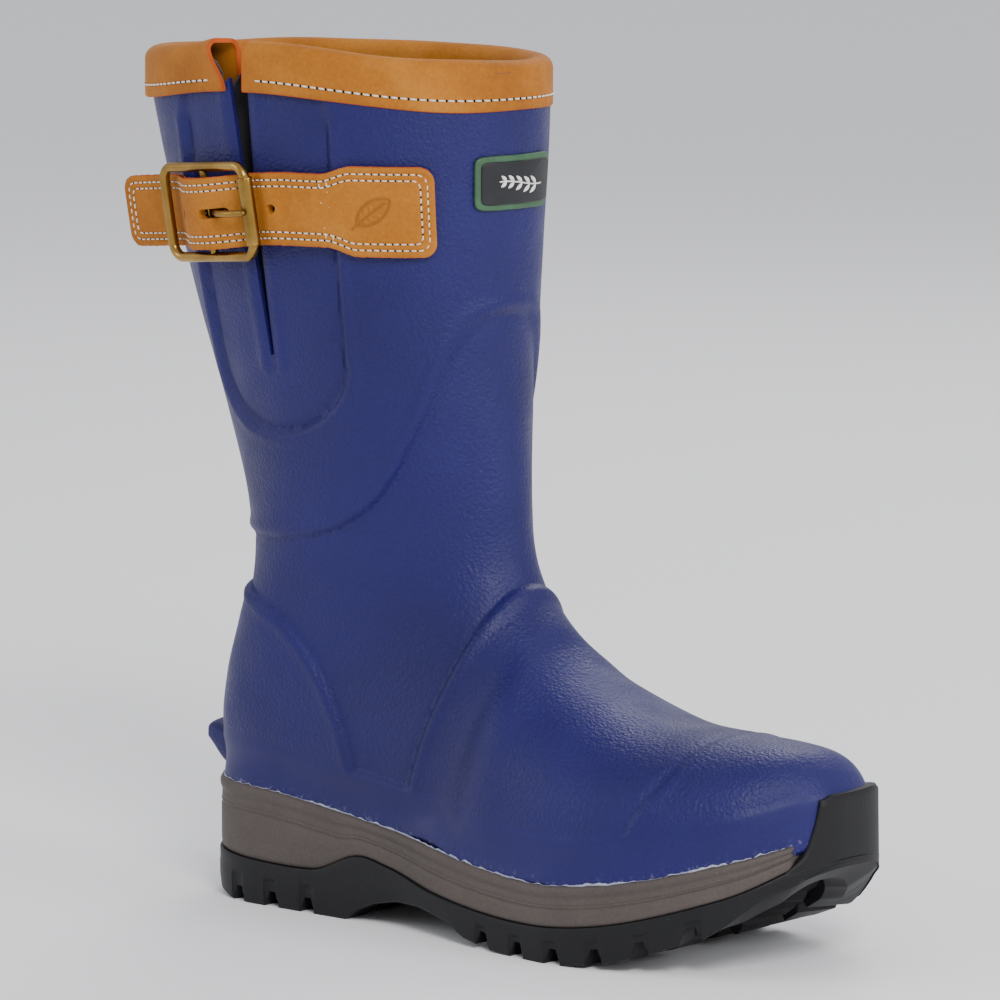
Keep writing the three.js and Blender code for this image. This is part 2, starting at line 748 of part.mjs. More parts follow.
// A closed block over a grid: corner(i, side, face) gives the point of column i at the lower (0) or
// upper (1) edge, on the inner (0) or outer (1) face.
const RIBBON_CORNERS = [[0, 0], [1, 0], [1, 1], [0, 1]];
function ribbonSolid(columns, corner) {
  const vertices = [];
  for (let i = 0; i < columns; i += 1) {
    for (const [side, face] of RIBBON_CORNERS) {
      vertices.push(...corner(i, side, face).toArray());
    }
  }
  const faces = [];
  for (let i = 0; i < columns - 1; i += 1) {
    for (let k = 0; k < 4; k += 1) {
      const a = 4 * i + k;
      const b = 4 * i + ((k + 1) % 4);
      if (k < 2) faces.push(a, b + 4, b, a, a + 4, b + 4);
      else faces.push(a, a + 4, b, b, a + 4, b + 4);
    }
  }
  const end = 4 * (columns - 1);
  faces.push(0, 1, 2, 0, 2, 3, end, end + 2, end + 1, end, end + 3, end + 2);
  return solidOf(indexedGeometry(vertices, faces));
}

// A strip round the leg between two angles, of a given height, from one offset to another.
function legStrip(fromAngle, toAngle, centreZ, halfHeight, inside, outside, columns) {
  return ribbonSolid(columns, (i, side, face) => {
    const share = i / (columns - 1);
    const degrees = fromAngle + (toAngle - fromAngle) * share;
    const z = centreZ + (side ? 1 : -1) * halfHeight(share);
    const { point, normal } = legPoint(degrees, z);
    return point.addScaledVector(normal, face ? outside : inside);
  });
}

const STRAP_Z = BOOT_HEIGHT - STRAP_DROP;
const OVER_PANEL = PANEL_OUT + GAP;

// ---- Buckle frame of reference: u forward along the strap, v up the leg, n away from the leg ----
function buckleSeat() {
  const z = STRAP_Z - BUCKLE_SAG;
  const { point, normal } = legPoint(BUCKLE_ANGLE, z);
  const v = legPoint(BUCKLE_ANGLE, z + 10).point.sub(point).normalize();
  const n = normal.clone().addScaledVector(v, -normal.dot(v)).normalize();
  const u = new THREE.Vector3().crossVectors(v, n);
  const turn = new THREE.Matrix4().makeRotationZ(-rad(BUCKLE_TURN));
  return new THREE.Matrix4().makeBasis(u, v, n).setPosition(point).multiply(turn);
}
const onLeg = buckleSeat();
const buckleMatrix = onLeg.clone().multiply(new THREE.Matrix4().makeTranslation(0, 0, BAR_STANDOFF));

// ---- Strap: it lies on the leg behind the tab, dips under the roller, climbs over the centre bar and
// passes under the far bar to a free end that stands off the leg ----
const BAR_REACH = BUCKLE_LENGTH / 2 - WIRE_RADIUS;
const ROLLER_RADIUS = ROLLER_BAR_RADIUS + GAP + ROLLER_WALL;
const CHAPE_RADIUS = CENTRE_BAR_RADIUS + GAP + CHAPE_THICK;
const STRAP_THICK = 2 * PLY_THICK + GAP;
const CREST = BAR_STANDOFF + CHAPE_RADIUS + GAP;
const TILT_ROOM = 1.2;
const DIP = BAR_STANDOFF - ROLLER_RADIUS - TILT_ROOM - STRAP_THICK;
const strapRise = smoothLine([
  [-FREE_END, DIP + 1],
  [-BAR_REACH - 6, DIP],
  [-BAR_REACH + 1, DIP],
  [-14, 0.55 * DIP + 0.45 * CREST],
  [-7, CREST - 1],
  [0, CREST],
  [7, CREST - 1.2],
  [14, 0.55 * DIP + 0.45 * CREST],
  [BAR_REACH - 1, DIP],
  [BAR_REACH + 6, DIP],
]);
const STRAP_FRONT = 35;
const END_RADIUS = 5;
const MM_PER_DEGREE = 1.1;
const SIDE_STRETCH = 1.18;

// A point of the strap in space: u runs from the free end to where the strap settles on the leg.
function strapPoint(u, v, lift) {
  const local = new THREE.Vector3(u, v, strapRise(u) + lift);
  return local.applyMatrix4(onLeg);
}

// Half the strap's height: it widens to a tab at the front, and both ends are rounded.
function strapHalf({ u, degrees }) {
  const rounding = (left) => {
    const short = Math.max(0, END_RADIUS - left);
    return END_RADIUS - Math.sqrt(Math.max(0, END_RADIUS ** 2 - short ** 2));
  };
  if (u !== undefined) return STRAP_WIDTH / 2 - rounding(u + FREE_END);
  const widening = THREE.MathUtils.smoothstep(TAB_BACK - degrees, 0, TAB_BACK - TAB_NECK);
  const half = STRAP_WIDTH / 2 + ((TAB_HEIGHT - STRAP_WIDTH) / 2) * widening;
  return half - rounding((degrees - TAB_FRONT) * MM_PER_DEGREE);
}

// One ply of the strap: local to the buckle from the free end to the roller, then along the leg.
function strapSolid(lift, thick) {
  const local = [0, 0.8, 2.5, 5, 9, 15].map((step) => step - FREE_END);
  const inner = linePoints(strapRise, -BAR_REACH - 4, BAR_REACH + 4, 22).map(([u]) => u);
  const start = BUCKLE_ANGLE - STRAP_FRONT / MM_PER_DEGREE / SIDE_STRETCH;
  const degrees = [start, 76, 73, 70, 67.5, 65, 62.5, 60, 55, 50, 45, 41, 38.4, 36.8, TAB_FRONT];
  const nearBuckle = [...local, ...inner].map((u) => ({ u }));
  const columns = [...nearBuckle, ...degrees.map((value) => ({ degrees: value }))];
  columns.reverse();
  return ribbonSolid(columns.length, (i, side, face) => {
    const step = columns[i];
    const up = (side ? 1 : -1) * strapHalf(step);
    const out = lift + (face ? thick : 0);
    if (step.u !== undefined) return strapPoint(step.u, up, out);
    const { point, normal } = legPoint(step.degrees, STRAP_Z + up);
    return point.addScaledVector(normal, OVER_PANEL + out);
  });
}

// ---- Buckle pieces, in their own frame ----
const PRONG_LIFTS = [-5, 1, 7, 13, 19];
const PRONG_PATH = [
  [CENTRE_BAR_RADIUS + GAP + 0.6, 0.4],
  [5, 1.3],
  [8.5, 3.1],
  [12.5, 5],
  [18, 5.3],
  [BAR_REACH - 0.5, ROLLER_RADIUS + PRONG_RADIUS + GAP],
  [BAR_REACH + 1.2, ROLLER_RADIUS + PRONG_RADIUS + 0.1],
];

function rodSolid(radius, length, sides) {
  return solidOf(new THREE.CylinderGeometry(radius, radius, length, sides));
}

// The wire frame with its thinner centre bar and roller bar.
function makeBuckleFrame() {
  const halfHeight = BUCKLE_HEIGHT / 2 - WIRE_RADIUS;
  const rounded = (grow) => {
    const shape = new THREE.Path();
    const x = BAR_REACH + grow;
    const y = halfHeight + grow;
    const r = BUCKLE_CORNER + grow;
    shape.absarc(x - r, y - r, r, 0, Math.PI / 2);
    shape.absarc(-x + r, y - r, r, Math.PI / 2, Math.PI);
    shape.absarc(-x + r, -y + r, r, Math.PI, 1.5 * Math.PI);
    shape.absarc(x - r, -y + r, r, 1.5 * Math.PI, 2 * Math.PI);
    return shape.getPoints(4);
  };
  const core = 0.5;
  const shape = new THREE.Shape(rounded(core));
  shape.holes.push(new THREE.Path(rounded(-core)));
  const bevel = WIRE_RADIUS - core;
  const wire = new THREE.ExtrudeGeometry(shape, {
    depth: 2 * core,
    curveSegments: 4,
    bevelThickness: bevel,
    bevelSize: bevel,
    bevelSegments: 2,
  });
  const bayHalf = ROLLER_LENGTH / 2 + GAP;
  const rollerBay = boxSolid(BAR_REACH - 4, BAR_REACH + 4, -bayHalf, bayHalf, -5, 5);
  const centreBar = rodSolid(CENTRE_BAR_RADIUS, 2 * halfHeight, 12);
  const rollerBar = rodSolid(ROLLER_BAR_RADIUS, 2 * bayHalf + 2, 12).translate(BAR_REACH, 0, 0);
  return solidOf(wire.translate(0, 0, -core)).subtract(rollerBay).add(centreBar).add(rollerBar);
}

function makeRoller() {
  const bore = rodSolid(ROLLER_BAR_RADIUS + GAP, ROLLER_LENGTH + 2, 16);
  return rodSolid(ROLLER_RADIUS, ROLLER_LENGTH, 16).subtract(bore);
}

function prongWire(radius) {
  const path = new THREE.CatmullRomCurve3(PRONG_PATH.map(([u, n]) => new THREE.Vector3(u, 0, n)));
  const section = shapeOf(
    Array.from({ length: 10 }, (_, i) => {
      const angle = (2 * Math.PI * i) / 10;
      return [radius * Math.cos(angle), radius * Math.sin(angle)];
    }),
  );
  return solidOf(new THREE.ExtrudeGeometry(section, { steps: 16, extrudePath: path }));
}

function makeProng() {
  const hub = rodSolid(CENTRE_BAR_RADIUS + GAP + PRONG_EYE_WALL, 2 * PRONG_RADIUS, 16);
  return hub.add(prongWire(PRONG_RADIUS)).subtract(rodSolid(CENTRE_BAR_RADIUS + GAP, 10, 16));
}

// The room in the strap that the prong sweeps as it is lifted out of its hole.
function prongSweep() {
  const wire = prongWire(PRONG_RADIUS + 2 * GAP);
  return PRONG_LIFTS.map((degrees) => wire.rotate([0, -degrees, 0]))
    .reduce((all, step) => all.add(step))
    .transform(buckleMatrix.elements);
}

// The spare holes, one each side of the prong's own hole.
function makeStrapHoles() {
  const prongHole = HOLE_PITCH / 2;
  return [prongHole - HOLE_PITCH, prongHole + HOLE_PITCH]
    .map((u) => rodSolid(HOLE_RADIUS, 60, 12).rotate([90, 0, 0]).translate(u, 0, 0))
    .reduce((all, hole) => all.add(hole))
    .transform(buckleMatrix.elements);
}

// The chape: a leather loop about the centre bar, with a tail that lies on the leg.
function makeChape() {
  const base = -BAR_STANDOFF;
  const loop = new THREE.Path().absarc(0, 0, CHAPE_RADIUS, -0.15 * Math.PI, 1.15 * Math.PI).getPoints(12);
  const tail = [
    [-5, base + OVER_PANEL + 1],
    [-10, base + OVER_PANEL - 0.2],
    [-10, base - 4],
    [4, base - 4],
    [4, base + OVER_PANEL + 1],
  ];
  const outline = [...loop.map((point) => [point.x, point.y]), ...tail];
  const body = new THREE.ExtrudeGeometry(shapeOf(outline), { depth: CHAPE_WIDTH, bevelEnabled: false });
  const block = solidOf(body.rotateX(Math.PI / 2).translate(0, CHAPE_WIDTH / 2, 0));
  const bore = rodSolid(CENTRE_BAR_RADIUS + GAP, CHAPE_WIDTH + 4, 16);
  const prongSlot = boxSolid(-6, 8, -PRONG_RADIUS - 0.6, PRONG_RADIUS + 0.6, base + OVER_PANEL + 1, 8);
  const seat = formSolid(OVER_PANEL).transform(buckleMatrix.clone().invert().elements);
  return block.subtract(bore).subtract(prongSlot).subtract(seat);
}

// ---- Assembly ----
const NAVY = { color: 0x262c6c, roughness: 0.5, metalness: 0 };
const LEATHER = { color: 0xb06c2c, roughness: 0.8, metalness: 0 };
const BRASS = { color: 0xa5803f, roughness: 0.35, metalness: 1 };
const BLACK = { color: 0x232326, roughness: 0.75, metalness: 0 };
const TAUPE = { color: 0x57504c, roughness: 0.7, metalness: 0 };
const TEXTILE = { color: 0x2b2c33, roughness: 0.95, metalness: 0 };

const boot = new THREE.Group();

function add(name, solid, look, parent = boot) {
  const mesh = new THREE.Mesh(geometryOf(solid), new THREE.MeshStandardMaterial(look));
  mesh.name = name;
  parent.add(mesh);
  return mesh;
}

add("shell", makeShell(), NAVY);
add("leg_panel", makeLegPanel(), NAVY);
add("vamp_panel", makeVampPanel(), NAVY);
add("toe_cap", makeToeCap(), NAVY);
add("heel_counter", makeHeelCounter(), NAVY);
add("foxing_band", makeFoxing(), NAVY);
add("kick_spur", makeKickSpur(), NAVY);
add("lining", makeLining(), TEXTILE);
add("gusset", makeGusset(), TEXTILE);
add("collar", makeCollar(), LEATHER);
add("insole_board", makeInsoleBoard(), { color: 0x8a7660, roughness: 0.9, metalness: 0 });
add("footbed", makeFootbed(), { color: 0x33343b, roughness: 0.95, metalness: 0 });
add("shank", shankBar(0), { color: 0x8f9296, roughness: 0.4, metalness: 1 });
add("midsole", makeMidsole(), TAUPE);
add("outsole", makeOutsole(), BLACK);

const prongRoom = prongSweep();
const strapHoles = makeStrapHoles();
add("strap_backing", strapSolid(0, PLY_THICK).subtract(prongRoom).subtract(strapHoles), LEATHER);
add("strap_facing", strapSolid(PLY_THICK + GAP, PLY_THICK).subtract(prongRoom).subtract(strapHoles), LEATHER);

const labelReach = (LABEL_LENGTH / 2 / (CALF_WIDTH / 2 - 4)) * (180 / Math.PI);
const labelZ = BOOT_HEIGHT - LABEL_DROP;
const labelHalf = () => LABEL_HEIGHT / 2;
const faceHalf = () => LABEL_HEIGHT / 2 - LABEL_BORDER;
const faceReach = (labelReach * (LABEL_LENGTH - 2 * LABEL_BORDER)) / LABEL_LENGTH;
const labelOut = OVER_PANEL + LABEL_THICK;
add(
  "label_backing",
  legStrip(-labelReach, labelReach, labelZ, labelHalf, OVER_PANEL, labelOut, 11),
  { color: 0x3c5a3e, roughness: 0.6, metalness: 0 },
);
const faceOut = labelOut + GAP;
add("label_face", legStrip(-faceReach, faceReach, labelZ, faceHalf, faceOut, faceOut + 0.5, 11), BLACK);

const buckleGroup = new THREE.Group();
buckleGroup.applyMatrix4(buckleMatrix);
boot.add(buckleGroup);
add("buckle_chape", makeChape(), LEATHER, buckleGroup);
add("buckle_frame", makeBuckleFrame(), BRASS, buckleGroup);
add("buckle_prong", makeProng(), BRASS, buckleGroup);
const roller = add("buckle_roller", makeRoller(), BRASS, buckleGroup);
roller.position.x = BAR_REACH;

// The origin is the middle of the boot's box, on the ground.
boot.updateMatrixWorld(true);
const box = new THREE.Box3().setFromObject(boot);
const centre = box.getCenter(new THREE.Vector3());
boot.position.set(-centre.x, -centre.y, 0);

export default boot;
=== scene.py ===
"""The visual model of a right-foot rubber boot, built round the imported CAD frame.

Shapes are worked out in millimetres in the CAD's own build frame (x from the back of the heel to the toe,
y to the inner side of the foot, z up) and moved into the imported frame, in metres, by to_frame().
"""

import math

import bmesh
import bpy
import numpy as np
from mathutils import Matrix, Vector
from mathutils.bvhtree import BVHTree


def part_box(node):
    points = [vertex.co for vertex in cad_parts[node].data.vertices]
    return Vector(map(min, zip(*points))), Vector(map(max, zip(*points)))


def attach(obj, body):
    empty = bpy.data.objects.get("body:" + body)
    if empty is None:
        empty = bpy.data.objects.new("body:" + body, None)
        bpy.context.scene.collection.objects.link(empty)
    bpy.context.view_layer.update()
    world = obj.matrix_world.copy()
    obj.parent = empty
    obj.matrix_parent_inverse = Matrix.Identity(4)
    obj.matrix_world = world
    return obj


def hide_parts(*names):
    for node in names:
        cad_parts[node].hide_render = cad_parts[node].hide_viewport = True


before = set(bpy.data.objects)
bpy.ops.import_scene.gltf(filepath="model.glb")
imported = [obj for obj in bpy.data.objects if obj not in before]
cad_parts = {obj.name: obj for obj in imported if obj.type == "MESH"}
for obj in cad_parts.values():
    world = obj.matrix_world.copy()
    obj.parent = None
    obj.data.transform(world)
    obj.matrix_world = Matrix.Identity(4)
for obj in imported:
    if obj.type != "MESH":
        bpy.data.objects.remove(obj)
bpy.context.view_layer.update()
RANDOM = np.random.default_rng(20)

# ---- Sizes in millimetres, the same as the CAD's ----
SOLE_LENGTH = 268.0
HEEL_WIDTH = 72.0
WAIST_WIDTH = 71.0
BALL_WIDTH = 102.0
BALL_X = 0.6549 * SOLE_LENGTH
HEEL_OVERHANG = 2.2
TOE_SHIFT = 5.0
UPPER_INSET = 4.5
BUMPER_HEIGHT = 62.0
BOOT_HEIGHT = 303.5
RIM_PEAK = 5.8
RIM_PEAK_X = 50.0
RIM_PEAK_SPAN = 78.0
ANKLE_HEIGHT = 106.0
ANKLE_FRONT = 0.4515 * SOLE_LENGTH
ANKLE_BACK = 15.0
ANKLE_WIDTH = 68.0
CALF_DEPTH = 158.0
CALF_WIDTH = 108.0
CALF_SETBACK = 33.2
GAP = 0.3
SLIT_DIP = 11.0
SHELL_WALL = 2.2
LINING_WALL = 3.0
PANEL_OUT = 1.4
FOXING_OUT = 2.0
FOXING_HEIGHT = 16.0
COLLAR_LEATHER = 1.6
COLLAR_DROP = 17.7
COLLAR_OPENING = 9.0
SLIT_TOP_X = 41.5
SLIT_FOOT_X = 49.5
SLIT_LENGTH = 106.0
SLIT_TOP_WIDTH = 8.0
SLIT_FOOT_WIDTH = 1.6
GUSSET_MARGIN = 8.0
STRAP_DROP = 51.4
STRAP_WIDTH = 25.0
PLY_THICK = 1.3
HOLE_PITCH = 20.0
TAB_HEIGHT = 31.0
TAB_FRONT = 34.5
TAB_NECK = 60.0
TAB_BACK = 70.0
BUCKLE_ANGLE = 106.5
BUCKLE_TURN = 5.0
BUCKLE_SAG = 2.5
FREE_END = 52.5
BUCKLE_LENGTH = 51.0
BUCKLE_HEIGHT = 36.0
BUCKLE_CORNER = 5.0
WIRE_RADIUS = 2.0
BAR_RADIUS = 1.3
ROLLER_WALL = 0.9
ROLLER_LENGTH = 24.0
PRONG_RADIUS = 1.2
CHAPE_THICK = 1.1
CHAPE_WIDTH = 22.0
BAR_STANDOFF = 6.4
LABEL_LENGTH = 35.0
LABEL_HEIGHT = 19.0
LABEL_THICK = 1.2
LABEL_BORDER = 2.0
LABEL_DROP = 42.2
SPUR_REACH = 9.0
SPUR_WIDTH = 40.0
SPUR_HEIGHT = 15.0
SHANK_START = 0.2 * SOLE_LENGTH
SOLE_TIP = SOLE_LENGTH - HEEL_OVERHANG
SLIT_FOOT_Z = BOOT_HEIGHT - SLIT_LENGTH
LINING_OUT = -(SHELL_WALL + GAP)
LINING_IN = LINING_OUT - LINING_WALL
OVER_PANEL = PANEL_OUT + GAP

# The shank starts at SHANK_START and is centred on y = 0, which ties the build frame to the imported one.
SHANK_LOW, SHANK_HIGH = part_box("shank")
ORIGIN = np.array([SHANK_LOW.x * 1000 - SHANK_START, (SHANK_LOW.y + SHANK_HIGH.y) * 500, 0.0])


def to_frame(points):
    return (np.asarray(points, float) + ORIGIN) / 1000


def along(share):
    return share * SOLE_LENGTH


def smooth_line(points):
    """A smooth line through [t, value] points, as a function of t."""
    t = np.array([p[0] for p in points], float)
    v = np.array([p[1] for p in points], float)
    n = len(t)
    before = np.maximum(np.arange(n) - 1, 0)
    after = np.minimum(np.arange(n) + 1, n - 1)
    slope = (v[after] - v[before]) / (t[after] - t[before])

    def line(x):
        x = np.clip(np.asarray(x, float), t[0], t[-1])
        i = np.clip(np.searchsorted(t, x) - 1, 0, n - 2)
        span = t[i + 1] - t[i]
        u = (x - t[i]) / span
        start = v[i] * (1 + 2 * u) * (1 - u) ** 2 + slope[i] * span * u * (1 - u) ** 2
        end = v[i + 1] * u * u * (3 - 2 * u) + slope[i + 1] * span * u * u * (u - 1)
        return start + end

    return line


def curve_points(points, steps):
    """A smooth open curve through a few points, as the CAD's spline runs."""
    p = np.array(points, float)
    last = len(p) - 1
    out = []
    for t in np.linspace(0, last, steps + 1):
        i = min(int(t), last - 1)
        u = t - i
        p0, p1, p2, p3 = p[max(i - 1, 0)], p[i], p[i + 1], p[min(i + 2, last)]
        v0, v1 = (p2 - p0) / 2, (p3 - p1) / 2
        a = (2 * p1 - 2 * p2 + v0 + v1) * u**3
        b = (-3 * p1 + 3 * p2 - 2 * v0 - v1) * u**2
        out.append(a + b + v0 * u + p1)
    return np.array(out)


def smoothstep(x, low=0.0, high=1.0):
    u = np.clip((np.asarray(x, float) - low) / (high - low), 0, 1)
    return u * u * (3 - 2 * u)


def unit(v):
    return v / np.maximum(np.linalg.norm(v, axis=-1, keepdims=True), 1e-9)


# ---- The moulded form ----
def rounded(u, power):
    return np.maximum(0, 1 - np.clip(u, 0, 1) ** power) ** (1 / power)


def sole_half(x, side):
    """Half width of the sole at x: side is -1 for the outer edge and 1 for the inner edge."""
    x = np.asarray(x, float)
    heel, ball = HEEL_WIDTH / 2, BALL_WIDTH / 2
    waist = WAIST_WIDTH / 2 + (2.5 if side < 0 else -2.5)
    heel_x = heel - HEEL_OVERHANG
    middle = smooth_line(
        [(heel_x, heel), (along(0.36), waist), (along(0.5), (waist + ball) / 2 + 1), (BALL_X, ball)]
    )(x)
    back = heel * rounded((heel_x - x) / heel, 2.3)
    front = ball * rounded((x - BALL_X) / (SOLE_TIP - BALL_X), 2.15 if side < 0 else 2.7)
    return np.where(x < heel_x, back, np.where(x > BALL_X, front, middle))


def sole_centre(x):
    u = np.clip((np.asarray(x, float) - BALL_X) / (SOLE_TIP - BALL_X), 0, 1)
    return TOE_SHIFT * u * u


def height_line(points):
    return smooth_line([(along(t), z) for t, z in points])


bed_line = height_line(
    [(0, 38), (0.1, 35), (0.3, 30), (0.5, 23), (0.66, 20), (0.8, 24), (0.92, 33), (1, 44)]
)
top_line = height_line([(0.52, 103), (0.625, 85.5), (0.7, 78.7), (0.79, 76), (0.9, 74.5), (1, 73)])
midsole_top = height_line(
    [(0, 43.5), (0.15, 41.7), (0.34, 35.6), (0.61, 27), (0.76, 30), (0.92, 40.6), (1, 49)]
)
outsole_top = height_line(
    [
        (0, 17.7),
        (0.22, 15.9),
        (0.3, 23.2),
        (0.36, 21.2),
        (0.45, 15.9),
        (0.61, 12.2),
        (0.75, 15.4),
        (0.9, 27),
        (0.96, 36),
        (1, 47),
    ]
)

TIP_X = SOLE_TIP - UPPER_INSET
TIP_Z = 53.0
SHIN_X = CALF_DEPTH - CALF_SETBACK


def rise(share):
    return ANKLE_HEIGHT + share * (BOOT_HEIGHT - ANKLE_HEIGHT)


def toe_row(degrees):
    reach = TIP_X - BALL_X
    x = TIP_X - (1 - math.cos(math.radians(degrees))) * reach
    sole_x = BALL_X + ((x - BALL_X) * (SOLE_TIP - BALL_X)) / reach
    inset = 1 - UPPER_INSET / (BALL_WIDTH / 2)

    def closing(power, length):
        return (1 - max(0, 1 - (TIP_X - x) / length) ** power) ** (1 / power)

    top = TIP_Z + (float(top_line(x)) - TIP_Z) * closing(2.5, 20)
    low = TIP_Z + (float(bed_line(x)) - TIP_Z) * closing(2.2, 30)
    halves = [float(sole_half(sole_x, side)) * inset for side in (-1, 1)]
    return [x, top, x, low, *halves, float(sole_centre(x)), 0.36, 3, 2.2]


def foot_row(share):
    x = along(share)
    halves = [float(sole_half(x, side)) - UPPER_INSET for side in (-1, 1)]
    return [x, float(top_line(x)), along(1.6 * share - 0.372), float(bed_line(x)), *halves, 0, 0.36, 3, 2.1]


def leg_row(top, low, halves, widest, low_corner):
    return [*top, *low, *halves, 0, widest, low_corner, 2.1]


def even(share):
    half = ANKLE_WIDTH / 2 + share * (CALF_WIDTH - ANKLE_WIDTH) / 2
    return [half, half]


def bed_point(share):
    return [along(share), float(bed_line(along(share)))]


def forward(share):
    return ANKLE_FRONT + share * (SHIN_X - ANKLE_FRONT)


def backward(share):
    return ANKLE_BACK - share * (ANKLE_BACK + CALF_SETBACK)


ROWS = np.array(
    [toe_row(d) for d in (0, 5, 11, 19, 30, 44, 62, 80)]
    + [foot_row(s) for s in (0.6, 0.55)]
    + [
        leg_row([ANKLE_FRONT + 20, ANKLE_HEIGHT], bed_point(0.418), [35, 32.5], 0.33, 3),
        leg_row([ANKLE_FRONT + 12, rise(0.046)], bed_point(0.3), even(0), 0.33, 3),
        leg_row([ANKLE_FRONT + 7, rise(0.103)], bed_point(0.168), even(0), 0.34, 3),
        leg_row([ANKLE_FRONT + 5, rise(0.154)], [14, 39], even(0.025), 0.35, 2.9),
        leg_row([ANKLE_FRONT + 4, rise(0.21)], [2.5, 54], even(0.075), 0.37, 2.7),
        leg_row([ANKLE_FRONT + 3, rise(0.267)], [3.5, 74], even(0.125), 0.4, 2.6),
        leg_row([ANKLE_FRONT + 2, rise(0.323)], [9, 94], even(0.2), 0.42, 2.4),
        leg_row([ANKLE_FRONT + 1, rise(0.39)], [ANKLE_BACK, rise(0.046)], even(0.275), 0.45, 2.3),
        leg_row([forward(0), rise(0.467)], [backward(0.02), rise(0.174)], even(0.375), 0.47, 2.2),
        leg_row([forward(0), rise(0.564)], [backward(0.234), rise(0.338)], even(0.525), 0.5, 2.1),
        leg_row([forward(0.3), rise(0.697)], [backward(0.53), rise(0.554)], even(0.725), 0.5, 2.1),
        leg_row([forward(0.7), rise(0.841)], [backward(0.787), rise(0.774)], even(0.9), 0.5, 2.1),
        leg_row([forward(1), rise(1)], [backward(1), rise(1)], even(1), 0.5, 2.1),
    ],
    float,
)
LAST_ROW = len(ROWS) - 1
COLUMNS = [smooth_line(list(enumerate(ROWS[:, k]))) for k in range(ROWS.shape[1])]


def form_point(s, angle):
    """A point of the form. Angle 0 is the back or underside and half a turn is the front or top."""
    s, angle = np.broadcast_arrays(np.asarray(s, float), np.asarray(angle, float))
    row = [column(s) for column in COLUMNS]
    top_x, top_z, low_x, low_z, outer, inner, shift, widest, low_corner, top_corner = row
    cosine, sine = np.cos(angle), np.sin(angle)
    corner = np.where(cosine > 0, low_corner, top_corner)
    up = np.abs(cosine) ** (2 / corner)
    out = np.abs(sine) ** (2 / corner)
    t = np.where(cosine > 0, widest * (1 - up), widest + (1 - widest) * up)
    y = shift + np.where(sine >= 0, inner * out, -outer * out)
    return np.stack([low_x + (top_x - low_x) * t, y, low_z + (top_z - low_z) * t], -1)


def form_normal(s, angle):
    s, angle = np.broadcast_arrays(np.asarray(s, float), np.asarray(angle, float))
    step = 0.02
    after = form_point(np.minimum(LAST_ROW, s + step), angle)
    before = form_point(np.maximum(0, s - step), angle)
    around = form_point(s, angle + step) - form_point(s, angle - step)
    return unit(np.cross(after - before, around))


def rim_rise(x):
    return RIM_PEAK * np.cos((np.pi / 2) * np.clip((x - RIM_PEAK_X) / RIM_PEAK_SPAN, -1, 1)) ** 2


def stretch_to_rim(points, drop):
    """Raises the top of the leg so that its last row ends at the rim line, less a drop."""
    p = points.copy()
    share = smoothstep(p[..., 2], BOOT_HEIGHT - 60, BOOT_HEIGHT)
    beside = np.exp(-(((p[..., 0] - (SLIT_TOP_X - 7)) / 6.5) ** 2)) * (p[..., 1] < 0)
    drop = drop + SLIT_DIP * beside
    p[..., 2] += share * (np.where(p[..., 1] < 0, rim_rise(p[..., 0]), 0) - drop)
    return p


def slit_edges(z, margin):
    """x of the slit's rear and front edges at a height."""
    share = np.clip((z - SLIT_FOOT_Z) / SLIT_LENGTH, 0, 1)
    centre = SLIT_FOOT_X + (SLIT_TOP_X - SLIT_FOOT_X) * share
    half = SLIT_FOOT_WIDTH / 2 + (SLIT_TOP_WIDTH - SLIT_FOOT_WIDTH) / 2 * share + margin
    return centre - half, centre + half


def slit_angles(s, margin):
    """Angles of the slit's rear and front edges on each row; below its foot they carry straight on."""
    found = []
    for edge in (0, 1):
        low, high = np.full(len(s), np.pi * 1.02), np.full(len(s), np.pi * 1.98)
        for _ in range(40):
            middle = (low + high) / 2
            p = form_point(s, middle)
            ahead = p[:, 0] > slit_edges(p[:, 2], margin)[edge]
            low = np.where(ahead, middle, low)
            high = np.where(ahead, high, middle)
        found.append((low + high) / 2)
    rear, front = found
    height = form_point(s, rear)[:, 2]
    first = int(np.argmax((height > SLIT_FOOT_Z) & (s > LAST_ROW * 0.6)))
    rear[:first], front[:first] = rear[first], front[first]
    return rear, front, first


def even_rows(step, low, high=None):
    """Row parameters spaced by about a step, from low to the last row."""
    s = np.linspace(low, LAST_ROW if high is None else high, 1500)
    p = form_point(s[:, None], np.linspace(0, 2 * np.pi, 24, endpoint=False)[None, :])
    length = np.linalg.norm(np.diff(p, axis=0), axis=-1)
    path = np.concatenate([[0], np.cumsum(0.5 * length.mean(1) + 0.5 * length.max(1))])
    return np.interp(np.linspace(0, path[-1], int(path[-1] / step) + 1), path, s)


def form_grid(row_step, count, margin):
    """Rows by columns of (s, angle): columns run from the slit's rear edge round the back to its front."""
    s = even_rows(row_step, 0.05)
    rear, front, first = slit_angles(s, margin)
    share = np.linspace(0, 1, count + 1)
    angles = np.zeros((len(s), count + 1))
    for i in range(len(s)):
        dense = np.linspace(rear[i], front[i] + 2 * np.pi, 1400)
        p = form_point(s[i], dense)
        length = np.concatenate([[0], np.cumsum(np.linalg.norm(np.diff(p, axis=0), axis=1))])
        angles[i] = np.interp(share * length[-1], length, dense)
    bridge = (front + 2 * np.pi + (rear - front) / 2)[:, None]
    angles = np.concatenate([angles, bridge], 1)
    return s, angles, first


def grid_faces(s_count, columns, first, open_slit=True):
    """Quads of a closed ring grid, without the cells inside the slit from row first upward."""
    i, j = np.meshgrid(np.arange(s_count - 1), np.arange(columns), indexing="ij")
    if open_slit:
        keep = ~((i >= first) & (j >= columns - 2))
        i, j = i[keep], j[keep]
    else:
        i, j = i.ravel(), j.ravel()
    k = (j + 1) % columns
    return np.stack([i * columns + j, (i + 1) * columns + j, (i + 1) * columns + k, i * columns + k], 1)


